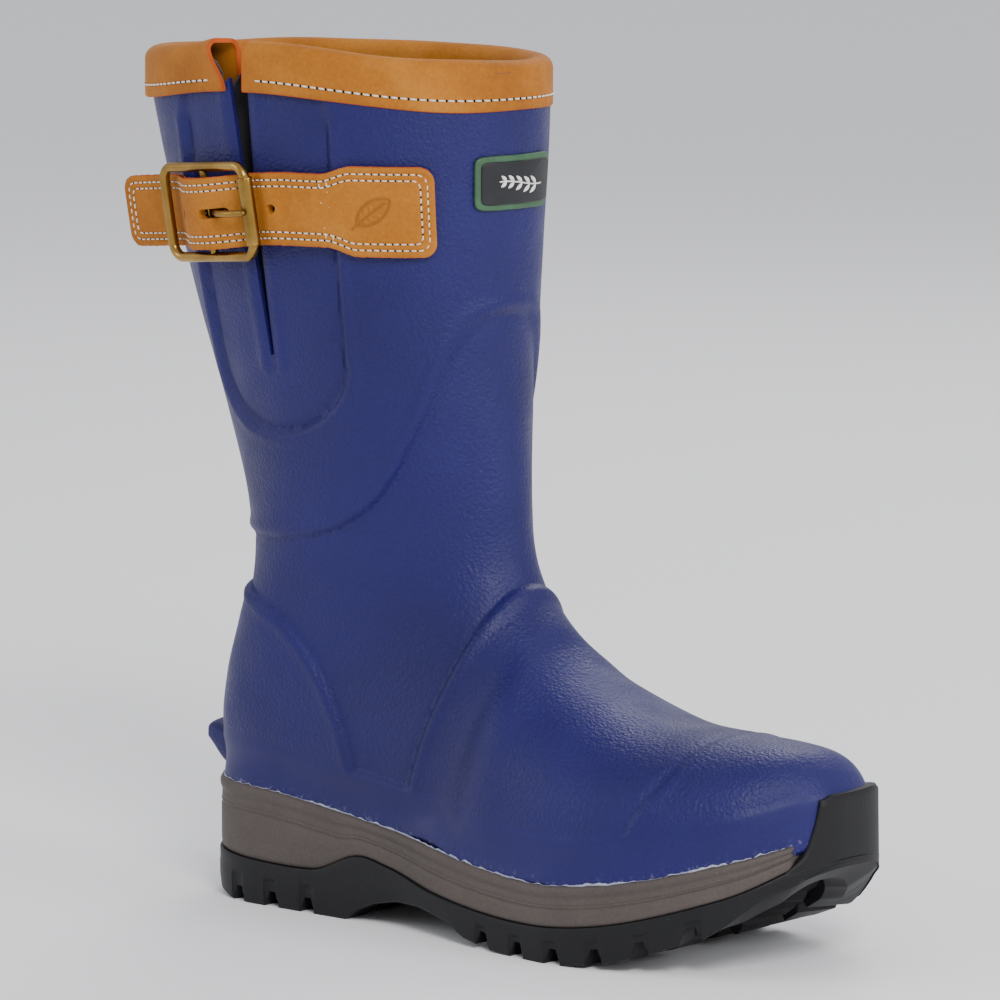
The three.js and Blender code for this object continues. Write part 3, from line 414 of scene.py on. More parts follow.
def thicken(outer, inner, faces):
    """A closed solid from an outer and an inner skin with the same faces."""
    faces = [tuple(int(v) for v in f) for f in faces]
    edges = {}
    for f in faces:
        for a, b in zip(f, f[1:] + f[:1]):
            edges[(a, b)] = edges.get((a, b), 0) + 1
    n = len(outer)
    walls = [(b, a, a + n, b + n) for (a, b) in edges if (b, a) not in edges]
    back = [tuple(v + n for v in reversed(f)) for f in faces]
    return np.concatenate([outer, inner]), faces + back + walls


def ring_faces(rings, k, closed=False):
    """Quads between rings of k points that follow one another."""
    faces = []
    for i in range(rings if closed else rings - 1):
        a, b = i * k, ((i + 1) % rings) * k
        faces += [(a + j, a + (j + 1) % k, b + (j + 1) % k, b + j) for j in range(k)]
    return faces


def end_faces(rings, k):
    """The faces that close the first and the last of the rings."""
    return [tuple(range(k))[::-1], tuple(range((rings - 1) * k, rings * k))]


def sheet_faces(rows, columns):
    """Quads of an open grid."""
    i, j = np.meshgrid(np.arange(rows - 1), np.arange(columns - 1), indexing="ij")
    i, j = i.ravel(), j.ravel()
    near, far = i * columns + j, (i + 1) * columns + j
    return np.stack([near, near + 1, far + 1, far], 1)


def signed_power(values, power):
    return np.sign(values) * np.abs(values) ** power


# ---- Pieces ----
def add_object(name, data):
    made = bpy.data.objects.new(name, data)
    bpy.context.scene.collection.objects.link(made)
    return made


def piece(name, points, faces, material, body):
    """A mesh object from points in the build frame, riding on a body."""
    mesh = bpy.data.meshes.new(name)
    mesh.from_pydata(to_frame(points).tolist(), [], [tuple(f) for f in faces])
    used = bmesh.new()
    used.from_mesh(mesh)
    loose = [v for v in used.verts if not v.link_faces]
    bmesh.ops.delete(used, geom=loose, context="VERTS")
    bmesh.ops.recalc_face_normals(used, faces=used.faces)
    used.to_mesh(mesh)
    used.free()
    mesh.polygons.foreach_set("use_smooth", [True] * len(mesh.polygons))
    mesh.materials.append(material)
    made = add_object(name, mesh)
    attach(made, body)
    return made


def store(obj, name, values):
    """Keeps a value for each vertex, which the materials read."""
    values = np.asarray(values, np.float32).ravel()
    obj.data.attributes.new(name, "FLOAT", "POINT").data.foreach_set("value", values)


def set_attribute(obj, name, value_of):
    """Keeps a value worked out from each vertex's place in the build frame."""
    mesh = obj.data
    co = np.zeros(len(mesh.vertices) * 3, np.float32)
    mesh.vertices.foreach_get("co", co)
    store(obj, name, value_of(co.reshape(-1, 3).astype(float) * 1000 - ORIGIN))


def sharpen(obj, degrees):
    """Shades edges sharper than an angle as sharp."""
    mesh = obj.data
    work = bmesh.new()
    work.from_mesh(mesh)
    for edge in work.edges:
        edge.smooth = not (len(edge.link_faces) == 2 and edge.calc_face_angle(0) > math.radians(degrees))
    work.to_mesh(mesh)
    work.free()


def apply_modifiers(obj):
    bpy.context.view_layer.update()
    graph = bpy.context.evaluated_depsgraph_get()
    mesh = bpy.data.meshes.new_from_object(obj.evaluated_get(graph))
    obj.modifiers.clear()
    obj.data = mesh


def cut(obj, cutters):
    """Takes cutters out of a piece and removes them."""
    for cutter in cutters:
        modifier = obj.modifiers.new("cut", "BOOLEAN")
        modifier.operation = "DIFFERENCE"
        modifier.solver = "EXACT"
        modifier.object = cutter
    apply_modifiers(obj)
    for cutter in cutters:
        bpy.data.objects.remove(cutter)


def loose_mesh(points, faces):
    mesh = bpy.data.meshes.new("cutter")
    mesh.from_pydata(to_frame(points).tolist(), [], [tuple(f) for f in faces])
    obj = add_object("cutter", mesh)
    work = bmesh.new()
    work.from_mesh(mesh)
    bmesh.ops.recalc_face_normals(work, faces=work.faces)
    work.to_mesh(mesh)
    work.free()
    return obj


def joined(parts):
    """One set of points and faces from several."""
    points, faces, base = [], [], 0
    for p, f in parts:
        points.append(np.asarray(p, float))
        faces += [tuple(int(v) + base for v in face) for face in f]
        base += len(p)
    return np.concatenate(points), faces


def sweep(path, section, closed=False, up=None):
    """A tube: section(i) gives (k, 2) offsets along the side and up directions at path point i."""
    path = np.asarray(path, float)
    n = len(path)
    if closed:
        tangent = unit(np.roll(path, -1, 0) - np.roll(path, 1, 0))
    else:
        tangent = unit(np.gradient(path, axis=0))
    if up is None:
        seed = np.array([0, 0, 1.0]) if abs(tangent[0][2]) < 0.9 else np.array([1.0, 0, 0])
        ups = [unit(seed - seed.dot(tangent[0]) * tangent[0])]
        for i in range(1, n):
            v = ups[-1] - ups[-1].dot(tangent[i]) * tangent[i]
            ups.append(unit(v))
        up = np.array(ups)
    side = unit(np.cross(tangent, up))
    up = unit(np.cross(side, tangent))
    rings = [path[i] + section(i) @ np.stack([side[i], up[i]]) for i in range(n)]
    k = len(rings[0])
    faces = ring_faces(n, k, closed)
    if not closed:
        faces += end_faces(n, k)
    return np.concatenate(rings), faces


def circle(radius, sides):
    a = np.linspace(0, 2 * np.pi, sides, endpoint=False)
    return np.stack([radius * np.cos(a), radius * np.sin(a)], 1)


def round_tube(path, radius, sides=12, closed=False, up=None):
    """A round tube whose ends are domed when it is open. Radius may be one number or one per point."""
    path = np.asarray(path, float)
    radii = np.broadcast_to(np.asarray(radius, float), (len(path),))
    if not closed:
        first, last = unit(path[0] - path[1]), unit(path[-1] - path[-2])
        steps = np.array([1.0, 0.9, 0.55, 0.0])
        shrink = np.array([0.12, 0.45, 0.83, 1.0])
        head = [path[0] + first * radii[0] * a for a in steps]
        tail = [path[-1] + last * radii[-1] * a for a in steps[::-1]]
        path = np.concatenate([head, path[1:-1], tail])
        radii = np.concatenate([radii[0] * shrink, radii[1:-1], radii[-1] * shrink[::-1]])
        up = None
    return sweep(path, lambda i: circle(radii[i], sides), closed, up)


# ---- Materials ----
def linear(hex_code):
    """A linear colour from a hex sRGB one."""
    values = [int(hex_code[i : i + 2], 16) / 255 for i in (0, 2, 4)]
    return [v / 12.92 if v <= 0.04045 else ((v + 0.055) / 1.055) ** 2.4 for v in values] + [1.0]


class Maker:
    """A material's nodes, with short calls for the ones used here."""

    def __init__(self, name, roughness, metallic=0.0, specular=0.5, sheen=0.0):
        self.material = bpy.data.materials.new(name)
        self.material.use_nodes = True
        self.tree = self.material.node_tree
        self.shader = self.tree.nodes["Principled BSDF"]
        self.shader.inputs["Roughness"].default_value = roughness
        self.shader.inputs["Metallic"].default_value = metallic
        self.shader.inputs["Specular IOR Level"].default_value = specular
        self.shader.inputs["Sheen Weight"].default_value = sheen
        self.place = self.tree.nodes.new("ShaderNodeTexCoord").outputs["Object"]

    def node(self, kind, inputs=(), **settings):
        made = self.tree.nodes.new(kind)
        for key, value in settings.items():
            setattr(made, key, value)
        for key, value in dict(inputs).items():
            if hasattr(value, "is_output"):
                self.tree.links.new(value, made.inputs[key])
            else:
                made.inputs[key].default_value = value
        return made

    def noise(self, scale, detail=3.0, roughness=0.5, distortion=0.0):
        inputs = {"Vector": self.place, "Scale": scale, "Detail": detail, "Roughness": roughness}
        return self.node("ShaderNodeTexNoise", {**inputs, "Distortion": distortion}).outputs["Fac"]

    def cells(self, scale, feature="F1", smooth=0.0):
        inputs = {"Vector": self.place, "Scale": scale}
        if feature == "SMOOTH_F1":
            inputs["Smoothness"] = smooth
        return self.node("ShaderNodeTexVoronoi", inputs, feature=feature).outputs["Distance"]

    def math(self, operation, a, b=0.0, clamp=False):
        return self.node("ShaderNodeMath", {0: a, 1: b}, operation=operation, use_clamp=clamp).outputs[0]

    def weighted(self, a, share_a, b, share_b):
        return self.math("ADD", self.math("MULTIPLY", a, share_a), self.math("MULTIPLY", b, share_b))

    def ramp(self, value, stops):
        made = self.node("ShaderNodeValToRGB", {"Fac": value})
        elements = made.color_ramp.elements
        while len(elements) < len(stops):
            elements.new(0.5)
        for element, (place, colour) in zip(elements, stops):
            element.position = place
            element.color = colour if hasattr(colour, "__len__") else (colour, colour, colour, 1)
        return made.outputs["Color"]

    def mix(self, share, a, b):
        return self.node("ShaderNodeMix", {"Factor": share, 6: a, 7: b}, data_type="RGBA").outputs[2]

    def attribute(self, name):
        return self.node("ShaderNodeAttribute", attribute_name=name).outputs["Fac"]

    def bump(self, height, strength, distance):
        inputs = {"Height": height, "Strength": strength, "Distance": distance}
        return self.node("ShaderNodeBump", inputs).outputs["Normal"]

    def finish(self, colour=None, roughness=None, normal=None):
        for key, value in (("Base Color", colour), ("Roughness", roughness), ("Normal", normal)):
            if value is not None:
                self.tree.links.new(value, self.shader.inputs[key])
        return self.material


def rubber_material(name, dark, light, grain, gloss):
    """Moulded rubber with a leathery pebble grain, which fades where the smooth attribute is 1."""
    m = Maker(name, gloss, specular=0.28)
    pebble = m.cells(780, "SMOOTH_F1", 0.6)
    wrinkle = m.noise(1150, 2.0, 0.5, 0.6)
    height = m.weighted(pebble, 0.9, wrinkle, 0.9)
    smooth = m.attribute("smooth")
    share = m.math("SUBTRACT", 1.0, m.math("MULTIPLY", smooth, 0.85), clamp=True)
    height = m.math("MULTIPLY", height, share)
    broad = m.noise(14, 3.0)
    tone = m.weighted(broad, 0.5, wrinkle, 0.35)
    colour = m.ramp(tone, [(0.3, linear(dark)), (0.65, linear(light))])
    smear = m.ramp(m.noise(520, 6.0, 0.75), [(0.56, 0.0), (0.66, 0.55)])
    scuff = m.math("MULTIPLY", m.attribute("glue"), smear)
    colour = m.mix(scuff, colour, linear("9a9fc4"))
    rough = m.ramp(m.noise(60, 4.0), [(0.3, gloss - 0.06), (0.7, gloss + 0.08)])
    rough = m.math("ADD", rough, m.math("MULTIPLY", wrinkle, 0.05))
    normal = m.bump(height, grain, 0.00035)
    return m.finish(colour, rough, normal)


def leather_material(name, shades, wear=0.35):
    """Waxed nubuck: mottled, with a fine nap, faint creases and darker pores."""
    m = Maker(name, 0.72, specular=0.15, sheen=0.02)
    broad = m.noise(22, 4.0, 0.55, 0.4)
    fine = m.noise(700, 4.0, 0.65)
    tone = m.weighted(broad, 0.72, fine, 0.28)
    colour = m.ramp(tone, [(0.34, linear(shades[0])), (0.5, linear(shades[1])), (0.68, linear(shades[2]))])
    streak = m.ramp(m.noise(130, 5.0, 0.7, 1.4), [(0.55, 0.0), (0.72, 1.0)])
    colour = m.mix(m.math("MULTIPLY", streak, wear), colour, linear(shades[2]))
    edge = m.attribute("edge")
    colour = m.mix(edge, colour, linear("b4501a"))
    # painted shade: the debossed leaf mark is darkened in colour to stand in for the shade in its grooves
    leaf_groove_shade = m.math("MULTIPLY", m.attribute("leaf_groove_shade"), 0.55)
    colour = m.mix(leaf_groove_shade, colour, linear("6b3a14"))
    pore = m.cells(1500)
    height = m.weighted(fine, 1.0, pore, 0.5)
    fuzz = m.math("MULTIPLY", m.math("MULTIPLY", m.noise(2200, 2.0), edge), 2.5)
    normal = m.bump(m.math("ADD", height, fuzz), 0.5, 0.00022)
    rough = m.ramp(broad, [(0.3, 0.62), (0.7, 0.8)])
    return m.finish(colour, rough, normal)


def fabric_material(name, dark, light, scale):
    """A close knit: two crossed waves with a little fluff."""
    m = Maker(name, 0.92, specular=0.2, sheen=0.3)
    waves = []
    for direction in ("X", "Z"):
        inputs = {"Vector": m.place, "Scale": scale, "Distortion": 0.6, "Detail": 1.0}
        waves.append(m.node("ShaderNodeTexWave", inputs, bands_direction=direction).outputs["Fac"])
    weave = m.math("MULTIPLY", waves[0], waves[1])
    fluff = m.noise(1200, 3.0)
    height = m.math("ADD", weave, m.math("MULTIPLY", fluff, 0.5))
    colour = m.ramp(m.math("MULTIPLY", height, 0.8), [(0.1, linear(dark)), (0.8, linear(light))])
    return m.finish(colour, None, m.bump(height, 0.6, 0.0004))


def plain_material(name, dark, light, roughness, scale, bump, metallic=0.0, specular=0.4):
    """A matt moulded or sawn surface with mottling, specks and a fine texture."""
    m = Maker(name, roughness, metallic, specular)
    broad = m.noise(scale, 5.0, 0.6)
    fine = m.noise(scale * 22, 3.0, 0.6)
    tone = m.weighted(broad, 0.6, fine, 0.4)
    colour = m.ramp(tone, [(0.35, linear(dark)), (0.65, linear(light))])
    rough = m.ramp(broad, [(0.3, roughness - 0.06), (0.7, roughness + 0.06)])
    return m.finish(colour, rough, m.bump(fine, bump, 0.0003))


def sole_material(name, dark, light, dust, roughness):
    """Moulded sole rubber with a matt skin, fine pitting and pale dust specks."""
    m = Maker(name, roughness, specular=0.25)
    broad = m.noise(25, 4.0)
    fine = m.noise(900, 3.0, 0.6)
    tone = m.weighted(broad, 0.6, fine, 0.4)
    colour = m.ramp(tone, [(0.35, linear(dark)), (0.65, linear(light))])
    speck = m.ramp(m.cells(260), [(0.035, 1.0), (0.06, 0.0)])
    speck = m.math("MULTIPLY", speck, m.ramp(m.noise(90, 2.0), [(0.56, 0.0), (0.66, 0.5)]))
    colour = m.mix(speck, colour, linear(dust))
    rough = m.ramp(broad, [(0.3, roughness - 0.07), (0.7, roughness + 0.07)])
    return m.finish(colour, rough, m.bump(fine, 0.35, 0.0003))


def brass_material():
    """Antique brass: bright on the rubbed faces, brown in patches, with faint scratches."""
    m = Maker("antique_brass", 0.34, metallic=1.0)
    patch = m.noise(55, 4.0, 0.5)
    colour = m.ramp(patch, [(0.3, linear("6f5626")), (0.5, linear("947338")), (0.7, linear("ad8b4a"))])
    scratch = m.noise(1800, 2.0, 0.5, 2.0)
    rough = m.ramp(patch, [(0.3, 0.42), (0.65, 0.24)])
    return m.finish(colour, rough, m.bump(scratch, 0.12, 0.0001))


def thread_material():
    """Twisted waxed thread."""
    m = Maker("cream_thread", 0.62, specular=0.3, sheen=0.2)
    inputs = {"Vector": m.place, "Scale": 1500, "Distortion": 1.0, "Detail": 1.0}
    twist = m.node("ShaderNodeTexWave", inputs, bands_direction="DIAGONAL").outputs["Fac"]
    tone = m.math("MULTIPLY", m.math("ADD", twist, m.noise(500, 3.0)), 0.5)
    colour = m.ramp(tone, [(0.2, linear("cfc4ae")), (0.7, linear("f4efe4"))])
    return m.finish(colour, None, m.bump(twist, 0.5, 0.0002))


NAVY = rubber_material("navy_rubber", "15134a", "1f1d62", 0.7, 0.42)
TAN = leather_material("tan_leather", ["8d5214", "a3631c", "b5762e"])
BRASS = brass_material()
THREAD = thread_material()
# painted shade: near-black material for the discs that stand in for the shade inside the needle holes
HOLE_SHADE = plain_material("needle_hole_shade", "0c0704", "1c0f08", 0.9, 200, 0.3, specular=0.1)
TAUPE = sole_material("taupe_rubber", "443d3a", "544c48", "a39d96", 0.6)
BLACK = sole_material("black_rubber", "0d0d0f", "17171a", "5a5a60", 0.52)
GLUE = plain_material("joint_glue", "6f7496", "b4b6c4", 0.55, 150, 0.7)
LINING = fabric_material("lining_textile", "16171b", "2d2e35", 420)
GUSSET = fabric_material("gusset_fabric", "06060a", "15151b", 700)
FOOTBED = fabric_material("footbed_foam", "1c1e26", "343743", 300)
LABEL_EDGE = plain_material("label_border", "2c4a31", "3d6344", 0.5, 90, 0.3)
LABEL_INSET = plain_material("label_inset", "0e0e11", "1c1c21", 0.42, 90, 0.25)
LABEL_PRINT = plain_material("label_print", "d6d6d2", "f0f0ec", 0.5, 200, 0.2)
FIBRE = plain_material("fibre_board", "6d5a43", "93795a", 0.9, 120, 0.6)
STEEL = plain_material("shank_steel", "74787c", "a0a4a8", 0.35, 60, 0.15, metallic=1.0)

# ---- The sole's outline ----
SIDE_STEPS = 3000


def outline_points():
    """The sole's outline in plan, and the distance to each point, from the heel by the outer side."""
    t = np.linspace(0, np.pi, SIDE_STEPS)
    middle, half = SOLE_LENGTH / 2 - HEEL_OVERHANG, SOLE_LENGTH / 2
    x = middle - half * np.cos(t)
    outer = np.stack([x, sole_centre(x) - sole_half(x, -1)], 1)
    inner = np.stack([x[::-1], (sole_centre(x) + sole_half(x, 1))[::-1]], 1)
    loop = np.concatenate([outer, inner[1:]])
    travel = np.concatenate([[0], np.cumsum(np.linalg.norm(np.diff(loop, axis=0), axis=1))])
    return loop, travel


LOOP, LOOP_TRAVEL = outline_points()
LOOP_LENGTH = LOOP_TRAVEL[-1]
TOE_TRAVEL = float(LOOP_TRAVEL[SIDE_STEPS - 1])


def outer_travel(x):
    """Distance along the outline to x on the outer side."""
    return np.interp(x, LOOP[:SIDE_STEPS, 0], LOOP_TRAVEL[:SIDE_STEPS])


def inner_travel(x):
    """Distance along the outline to x on the inner side."""
    back = slice(None, SIDE_STEPS - 2, -1)
    return np.interp(x, LOOP[back, 0], LOOP_TRAVEL[back])


def loop_at(distance, inset=0.0):
    """Plan points at distances along the outline, drawn in by an inset."""

    def at(d):
        return np.stack([np.interp(np.mod(d, LOOP_LENGTH), LOOP_TRAVEL, LOOP[:, k]) for k in (0, 1)], -1)

    d = np.mod(distance, LOOP_LENGTH)
    if np.ndim(inset) == 0 and inset == 0:
        return at(d)
    reach = 1.2
    t = unit(at(d + reach) - at(d - reach))
    inward = np.stack([-t[..., 1], t[..., 0]], -1)
    return at(d) + inward * np.asarray(inset)[..., None]


def spine_of(p):
    """The point of the foot's middle line that an outline point looks to."""
    x = np.clip(p[..., 0], 34, 214)
    return np.stack([x, sole_centre(x) + 0 * x], -1)


# ---- The moulded upper ----
def foxing_top(x):
    return midsole_top(x) + FOXING_HEIGHT


FALL_LINE = curve_points(
    [
        (-60, rise(0.12)),
        (ANKLE_BACK, rise(0.135)),
        (62, rise(0.15)),
        (88, rise(0.215)),
        (104, rise(0.345)),
        (115, rise(0.5)),
        (ANKLE_FRONT + 4, rise(0.565)),
        (160, rise(0.58)),
    ],
    60,
)
TOE_LINE = curve_points(
    [(along(0.77), 30), (along(0.775), 49), (along(0.795), 59), (along(0.81), 67), (along(0.817), 80)], 40
)
VAMP_LINE = curve_points(
    [
        (along(0.375), 20),
        (along(0.385), 49),
        (along(0.4), 63),
        (along(0.417), 76),
        (along(0.444), rise(-0.06)),
        (along(0.47), rise(0.03)),
        (ANKLE_FRONT + 12, rise(0.08)),
        (ANKLE_FRONT + 34, rise(0.09)),
    ],
    60,
)
COUNTER_LINE = curve_points(
    [
        (-30, rise(0.05)),
        (ANKLE_BACK, rise(0.047)),
        (40, rise(0.012)),
        (54, rise(-0.04)),
        (66, 82),
        (74, 66),
        (79, 46),
        (80, 20),
    ],
    60,
)
WINDOW_REACH = 31.5
WINDOW_DEPTH = 25.0


def distance_to(line, x, z):
    """Distance in side view from points to a polyline."""
    a, b = line[:-1], line[1:]
    d = b - a
    best = np.full(x.shape, 1e9)
    for (ax, az), (dx, dz) in zip(a, d):
        t = np.clip(((x - ax) * dx + (z - az) * dz) / (dx * dx + dz * dz), 0, 1)
        best = np.minimum(best, np.hypot(x - ax - t * dx, z - az - t * dz))
    return best


def window_distance(x, z):
    """Distance inside (positive) the round-ended window about the slit."""
    lean = (SLIT_TOP_X - SLIT_FOOT_X) * 0.4
    share = np.clip((z - SLIT_FOOT_Z) / (BOOT_HEIGHT + 30 - SLIT_FOOT_Z), 0, 1)
    front = SLIT_FOOT_X + WINDOW_REACH + lean * share - x
    rear = x - (SLIT_FOOT_X - WINDOW_REACH + (lean - 6) * share)
    r = np.hypot((x - SLIT_FOOT_X) / WINDOW_REACH, (z - SLIT_FOOT_Z) / WINDOW_DEPTH)
    below = (1 - r) * np.minimum(WINDOW_REACH, WINDOW_DEPTH)
    return np.where(z > SLIT_FOOT_Z, np.minimum(front, rear), below)


def relief(p):
    """How far the moulding stands out from the form: panels with soft edges, the foxing and creases."""
    x, y, z = p[..., 0], p[..., 1], p[..., 2]
    step = 1.1

    def raised(distance, above):
        return smoothstep(np.where(above, distance, -distance), -step, step)

    leg = raised(distance_to(FALL_LINE, x, z), z > np.interp(x, FALL_LINE[:, 0], FALL_LINE[:, 1]))
    inside_window = window_distance(x, z)
    window = smoothstep(inside_window, -step, step) * (y < 0)
    leg = leg * (1 - window)
    ridge = 0.8 * np.exp(-(((inside_window + 3.0) / 2.0) ** 2))
    crease = 1.3 * np.exp(-((inside_window / 1.6) ** 2))
    window_edge = (ridge - crease) * (y < 0)
    vamp_x = np.interp(z, VAMP_LINE[:, 1], VAMP_LINE[:, 0])
    vamp = raised(distance_to(VAMP_LINE, x, z), x > vamp_x) * (z < rise(0.3)) * (x > 60)
    counter_z = np.interp(x, COUNTER_LINE[:, 0], COUNTER_LINE[:, 1])
    counter = raised(distance_to(COUNTER_LINE, x, z), (z < counter_z) & (x < 80))
    below_collar = 1 - smoothstep(z, BOOT_HEIGHT - COLLAR_DROP - 6, BOOT_HEIGHT - COLLAR_DROP)
    height = PANEL_OUT * np.maximum(np.maximum(leg, vamp), counter) + window_edge * (z > 120) * below_collar
    toe = distance_to(TOE_LINE, x, z)
    ahead = x > np.interp(z, TOE_LINE[:, 1], TOE_LINE[:, 0])
    ridge = np.where(ahead, 0.55, 0.15) * np.exp(-(((toe - 2.4) / 2.4) ** 2))
    height += ridge - 0.9 * np.exp(-((toe / 1.6) ** 2))
    above_fall = z > np.interp(x, FALL_LINE[:, 0], FALL_LINE[:, 1])
    for line, reach, inside in (
        (VAMP_LINE, 0.8, x > vamp_x),
        (COUNTER_LINE, 0.8, z < counter_z),
        (FALL_LINE, 0.6, above_fall),
    ):
        edge = distance_to(line, x, z)
        height += np.where(inside, reach, 0) * np.exp(-(((edge - 2.8) / 2.0) ** 2)) * (z < rise(0.62))
        height -= 0.55 * np.exp(-((edge / 1.5) ** 2)) * (z < rise(0.62)) * (x < 150)
    foxing = smoothstep(foxing_top(x) - z, -1.6, 1.6) * (z < 100)
    return height * (1 - foxing) + FOXING_OUT * foxing


def slit_lip(p):
    """The shell turns in a little along the slit and thickens to a soft bead beside it."""
    rear, front = slit_edges(p[..., 2], 0.0)
    beside = np.minimum(np.abs(p[..., 0] - rear), np.abs(p[..., 0] - front))
    near = (p[..., 1] < 0) & (p[..., 2] > SLIT_FOOT_Z - 4)
    return near * (0.7 * np.exp(-(((beside - 3.5) / 2.2) ** 2)) - 0.6 * np.exp(-((beside / 1.2) ** 2)))


JOINT_INSET = 1.9
UPPER_STEP = 1.7
UPPER_COLUMNS = 248
SHELL_DROP = 4.2
LINING_DROP = 5.0


def swell_to_sole(outer):
    """Pushes the foot of the upper out to the midsole's lip, so that no ledge shows at the joint."""
    stations = np.linspace(0, LOOP_LENGTH, 500, endpoint=False)
    ring = loop_at(stations, np.full(500, JOINT_INSET))
    points = np.concatenate([np.column_stack([ring, np.full(500, z)]) for z in (-10.0, 130.0)])
    faces = [(i, (i + 1) % 500, 500 + (i + 1) % 500, 500 + i) for i in range(500)]
    wall = BVHTree.FromPolygons([Vector(p) for p in points], faces)
    joint = midsole_top(outer[:, 0])
    for i in np.nonzero((outer[:, 2] < joint + 15) & (outer[:, 2] > joint - 4))[0]:
        p = outer[i]
        centre = np.append(spine_of(p), p[2])
        away = unit(p - centre)
        hit = wall.ray_cast(Vector(p), Vector(away))[0]
        if hit is None:
            continue
        share = 1 - float(smoothstep(p[2], joint[i] + 0.5, joint[i] + 15))
        reach = min(float(np.linalg.norm(np.array(hit) - p)), 6.0)
        outer[i] = p + away * reach * share * float(smoothstep(p[2], joint[i] - 4, joint[i] - 0.5))
    return outer


def form_skins(row_step, count, margin, outside, inside, drop):
    """Outer and inner skins on one grid, as points and faces of a closed solid."""
    s, angles, first = form_grid(row_step, count, margin)
    grid = s[:, None]
    bare = form_point(grid, angles)
    normal = form_normal(grid, angles)
    out = outside(bare) if callable(outside) else outside
    outer = stretch_to_rim(bare + normal * np.asarray(out)[..., None], drop)
    inner = stretch_to_rim(bare + normal * inside, drop)
    rows, columns = angles.shape
    faces = grid_faces(rows, columns, first)
    outer, inner = outer.reshape(-1, 3), inner.reshape(-1, 3)
    if callable(outside):
        outer = swell_to_sole(outer)
    n = len(outer)
    tips = np.array([[TIP_X, TOE_SHIFT, TIP_Z]])
    reach = float(np.mean(out)) if np.ndim(out) == 0 else float(np.asarray(out)[0].mean())
    outer = np.concatenate([outer, tips + [[reach, 0, 0]]])
    inner = np.concatenate([inner, tips + [[inside, 0, 0]]])
    cap = [(n, j, (j + 1) % columns) for j in range(columns)]
    return thicken(outer, inner, [tuple(f) for f in faces] + cap)


def make_upper():
    points, faces = form_skins(
        UPPER_STEP, UPPER_COLUMNS, 0.0, lambda p: relief(p) + slit_lip(p), -SHELL_WALL, SHELL_DROP
    )
    upper = piece("rubber_upper", points, faces, NAVY, "boot")
    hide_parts("shell", "leg_panel", "vamp_panel", "toe_cap", "heel_counter", "foxing_band")

    def smooth_share(p):
        return smoothstep(foxing_top(p[:, 0]) - p[:, 2], -4, 3) * (p[:, 2] < 100)

    def glue_share(p):
        return np.exp(-np.maximum(0, p[:, 2] - midsole_top(p[:, 0]) - 0.3) / 1.1)

    set_attribute(upper, "smooth", smooth_share)
    set_attribute(upper, "glue", glue_share)
    sharpen(upper, 50)


def make_lining():
    points, faces = form_skins(3.5, 110, GUSSET_MARGIN + GAP, LINING_OUT, LINING_IN, LINING_DROP)
    lining = piece("lining_sleeve", points, faces, LINING, "boot")
    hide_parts("lining")


def leg_point(degrees, z):
    """The form's surface at degrees round from the front towards the outer side, at a height."""
    degrees, z = np.broadcast_arrays(np.asarray(degrees, float), np.asarray(z, float))
    angle = np.pi + np.radians(degrees)
    low, high = np.full(z.shape, LAST_ROW * 0.4), np.full(z.shape, float(LAST_ROW))
    for _ in range(34):
        middle = (low + high) / 2
        under = form_point(middle, angle)[..., 2] < z
        low = np.where(under, middle, low)
        high = np.where(under, high, middle)
    return form_point(high, angle), form_normal(np.minimum(high, LAST_ROW - 0.03), angle)


def leg_point_at_x(x, z):
    """The form's surface on the outer side at x and z."""
    x, z = np.broadcast_arrays(np.asarray(x, float), np.asarray(z, float))
    low, high = np.full(x.shape, 10.0), np.full(x.shape, 170.0)
    for _ in range(30):
        middle = (low + high) / 2
        ahead = leg_point(middle, z)[0][..., 0] > x
        low = np.where(ahead, middle, low)
        high = np.where(ahead, high, middle)
    return leg_point(high, z)


def make_gusset():
    """A pleated textile panel behind the slit: it folds inward in two soft bellows."""
    rows, columns = 60, 31
    z = np.linspace(SLIT_FOOT_Z - GUSSET_MARGIN, BOOT_HEIGHT - 0.5, rows)
    across = np.linspace(-1, 1, columns)
    rear, front = slit_edges(z, GUSSET_MARGIN)
    x = (rear + front)[:, None] / 2 + (front - rear)[:, None] / 2 * across[None, :]
    point, normal = leg_point_at_x(x, np.repeat(z[:, None], columns, 1))
    width = (front - rear)[:, None]
    fold = 0.16 * width * (1 - across[None, :] ** 2) ** 2 * (0.75 + 0.25 * np.cos(across[None, :] * 9))
    wave = 0.3 * np.sin(z[:, None] * 0.21 + across[None, :] * 3)
    skins = []
    for off in (0.0, 1.2):
        depth = LINING_OUT - off - fold - np.maximum(0, wave)
        skins.append(stretch_to_rim(point + normal * depth[..., None], LINING_DROP).reshape(-1, 3))
    points, faces = thicken(*skins, sheet_faces(rows, columns))
    gusset = piece("gusset_bellows", points, faces, GUSSET, "boot")
    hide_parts("gusset")


# ---- The collar ----
def rim_path(count):
    """Points and outward normals round the rim from the slit's rear edge to its front edge."""
    s = np.array([LAST_ROW - 1e-6])
    margin = (COLLAR_OPENING - SLIT_TOP_WIDTH) / 2
    rear, front, _ = slit_angles(np.array([LAST_ROW * 0.7, LAST_ROW - 1e-6]), margin)
    dense = np.linspace(rear[1], front[1] + 2 * np.pi, 4000)
    p = form_point(s[0], dense)
    length = np.concatenate([[0], np.cumsum(np.linalg.norm(np.diff(p, axis=0), axis=1))])
    where = np.linspace(0, length[-1], count)
    angle = np.interp(where, length, dense)
    point = form_point(s[0], angle)
    normal = form_normal(LAST_ROW - 0.03, angle)
    normal[:, 2] = 0
    height = BOOT_HEIGHT + np.where(point[:, 1] < 0, rim_rise(point[:, 0]), 0)
    return point, unit(normal), height, where


